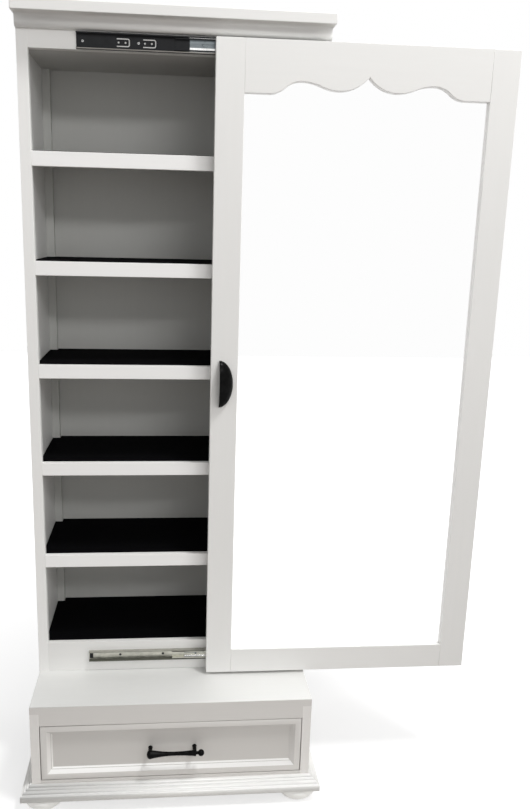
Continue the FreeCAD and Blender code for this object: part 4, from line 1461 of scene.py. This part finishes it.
class CABINET_OT_stage(bpy.types.Operator):
    """Camera, lamps, room light and floor"""

    bl_idname = "cabinet.stage"
    bl_label = "Stage"

    sensor = 36
    nearest = 0.05
    key_place, key_target, key_size = (1.7, -4.4, 3.75), (-0.2, 0.2, 1.3), (3, 0.25)
    top_place, top_target, top_size = (1.4, -1.37, 5), (-0.2, -0.2, 0.1), (0.8, 0.8)
    near_reach = 0.35
    far_reach = 0.9
    glow_near = 0.5
    glow_far = 2

    def execute(self, context):
        scene, stage = context.scene, context.scene.cabinet_stage
        scene.camera = self.camera(stage)
        self.lamp("key_lamp", self.key_place, self.key_target, self.key_size, stage.key_power)
        self.lamp("top_lamp", self.top_place, self.top_target, self.top_size, stage.top_power)
        self.room(scene, stage)
        self.floor(stage)
        scene.view_settings.view_transform = "Standard"
        return {"FINISHED"}

    def camera(self, stage):
        data = bpy.data.cameras.new("camera")
        data.sensor_width = self.sensor
        data.lens = stage.lens
        data.shift_x, data.shift_y = stage.shift
        data.clip_start = self.nearest
        camera = link_object("camera", data)
        camera.location = stage.camera_place
        camera.rotation_euler = stage.camera_turn
        return camera

    def lamp(self, name, place, target, size, power):
        data = bpy.data.lights.new(name, "AREA")
        data.shape = "ELLIPSE"
        data.size, data.size_y = size
        data.energy = power
        lamp = link_object(name, data)
        lamp.location = place
        aim = Vector(target) - Vector(place)
        lamp.rotation_euler = aim.to_track_quat("-Z", "Y").to_euler()

    def seen_rays(self, tree):
        """One where a ray comes from the camera, a gloss or a glass."""
        path = put(tree, "ShaderNodeLightPath").outputs
        either = maths(tree, "MAXIMUM", path["Is Camera Ray"], path["Is Glossy Ray"])
        return maths(tree, "MAXIMUM", either, path["Is Transmission Ray"])

    def room(self, scene, stage):
        """Light that grows towards the sides, and a white field where it is seen."""
        scene.world = bpy.data.worlds.new("room")
        scene.world.use_nodes = True
        tree = scene.world.node_tree
        tree.nodes.clear()
        around = put(tree, "ShaderNodeTexCoord").outputs["Generated"]
        split = put(tree, "ShaderNodeSeparateXYZ", {0: around}).outputs
        total = mapped(tree, split["Z"], 0, 1, stage.horizon, stage.zenith)
        for side, strength in (("MAXIMUM", stage.east), ("MINIMUM", -stage.west)):
            total = maths(tree, "MULTIPLY_ADD", maths(tree, side, split["X"], 0), strength, total)
        light = put(tree, "ShaderNodeBackground", {"Strength": total})
        white = put(tree, "ShaderNodeBackground", {"Color": (1, 1, 1, 1)})
        mix = put(tree, "ShaderNodeMixShader", {0: self.seen_rays(tree), 1: light.outputs[0],
                                                2: white.outputs[0]})
        put(tree, "ShaderNodeOutputWorld", {"Surface": mix.outputs[0]})

    def floor(self, stage):
        """A grey floor that is lifted to white where it is seen, and warm where it isn't."""
        half = stage.floor_size / 2
        mesh = bpy.data.meshes.new("floor")
        mesh.from_pydata([(-half, -half, 0), (half, -half, 0), (half, half, 0), (-half, half, 0)],
                         [], [(0, 1, 2, 3)])
        material, tree = new_material("pale_floor")
        seen = self.seen_rays(tree)
        plinth = (CABINET_MIDDLE, low("plinth_moulding_front").y, 0)
        away = put(tree, "ShaderNodeVectorMath", {0: place_in(tree), 1: plinth},
                   operation="DISTANCE").outputs["Value"]
        fade = mapped(tree, away, self.near_reach, self.far_reach, 0, 1)
        bounce = mixed(tree, fade, (*stage.near_bounce, 1), (*stage.floor_bounce, 1))
        shade(tree, {"Base Color": mixed(tree, seen, bounce, (0.5, 0.5, 0.5, 1)),
                     "Roughness": 0.9, "Specular IOR Level": 0})
        lift = mapped(tree, away, self.glow_near, self.glow_far, stage.floor_glow,
                      stage.far_glow)
        glow = put(tree, "ShaderNodeEmission", {"Strength": maths(tree, "MULTIPLY", seen, lift)})
        both = put(tree, "ShaderNodeAddShader",
                   {0: tree.nodes["Principled BSDF"].outputs[0], 1: glow.outputs[0]})
        fill(tree, tree.nodes["Material Output"], {"Surface": both.outputs[0]})
        mesh.materials.append(material)
        piece = link_object("floor", mesh)


class CABINET_PT_panel(bpy.types.Panel):
    """Settings and pieces of the cabinet"""

    bl_idname = "CABINET_PT_panel"
    bl_label = "Mirror cabinet"
    bl_space_type = "VIEW_3D"
    bl_region_type = "UI"
    bl_category = "Cabinet"

    def draw(self, context):
        for name in SETTINGS:
            settings = getattr(context.scene, name)
            column = self.layout.column()
            for key in settings.__annotations__:
                column.prop(settings, key)
        for operator in OPERATORS:
            self.layout.operator(operator.bl_idname)


SETTINGS = {
    "cabinet_paint": PaintSettings,
    "cabinet_boards": BoardSettings,
    "cabinet_scallop": ScallopSettings,
    "cabinet_drawer": DrawerSettings,
    "cabinet_pulls": PullSettings,
    "cabinet_stage": StageSettings,
}
OPERATORS = (CABINET_OT_stage, CABINET_OT_carcass, CABINET_OT_shelves, CABINET_OT_mats,
             CABINET_OT_crown, CABINET_OT_base, CABINET_OT_plinth, CABINET_OT_feet,
             CABINET_OT_drawer, CABINET_OT_bar_pull, CABINET_OT_door, CABINET_OT_mirror,
             CABINET_OT_cup_pull, CABINET_OT_slides, CABINET_OT_stops, CABINET_OT_screws)


def register():
    for settings in SETTINGS.values():
        bpy.utils.register_class(settings)
    for operator in OPERATORS:
        bpy.utils.register_class(operator)
    bpy.utils.register_class(CABINET_PT_panel)
    for name, settings in SETTINGS.items():
        setattr(bpy.types.Scene, name, bpy.props.PointerProperty(type=settings))


def unregister():
    for name in SETTINGS:
        delattr(bpy.types.Scene, name)
    bpy.utils.unregister_class(CABINET_PT_panel)
    for operator in reversed(OPERATORS):
        bpy.utils.unregister_class(operator)
    for settings in reversed(list(SETTINGS.values())):
        bpy.utils.unregister_class(settings)


def main():
    register()
    for operator in OPERATORS:
        group, name = operator.bl_idname.split(".")
        getattr(getattr(bpy.ops, group), name)()


if __name__ == "__main__":
    main()
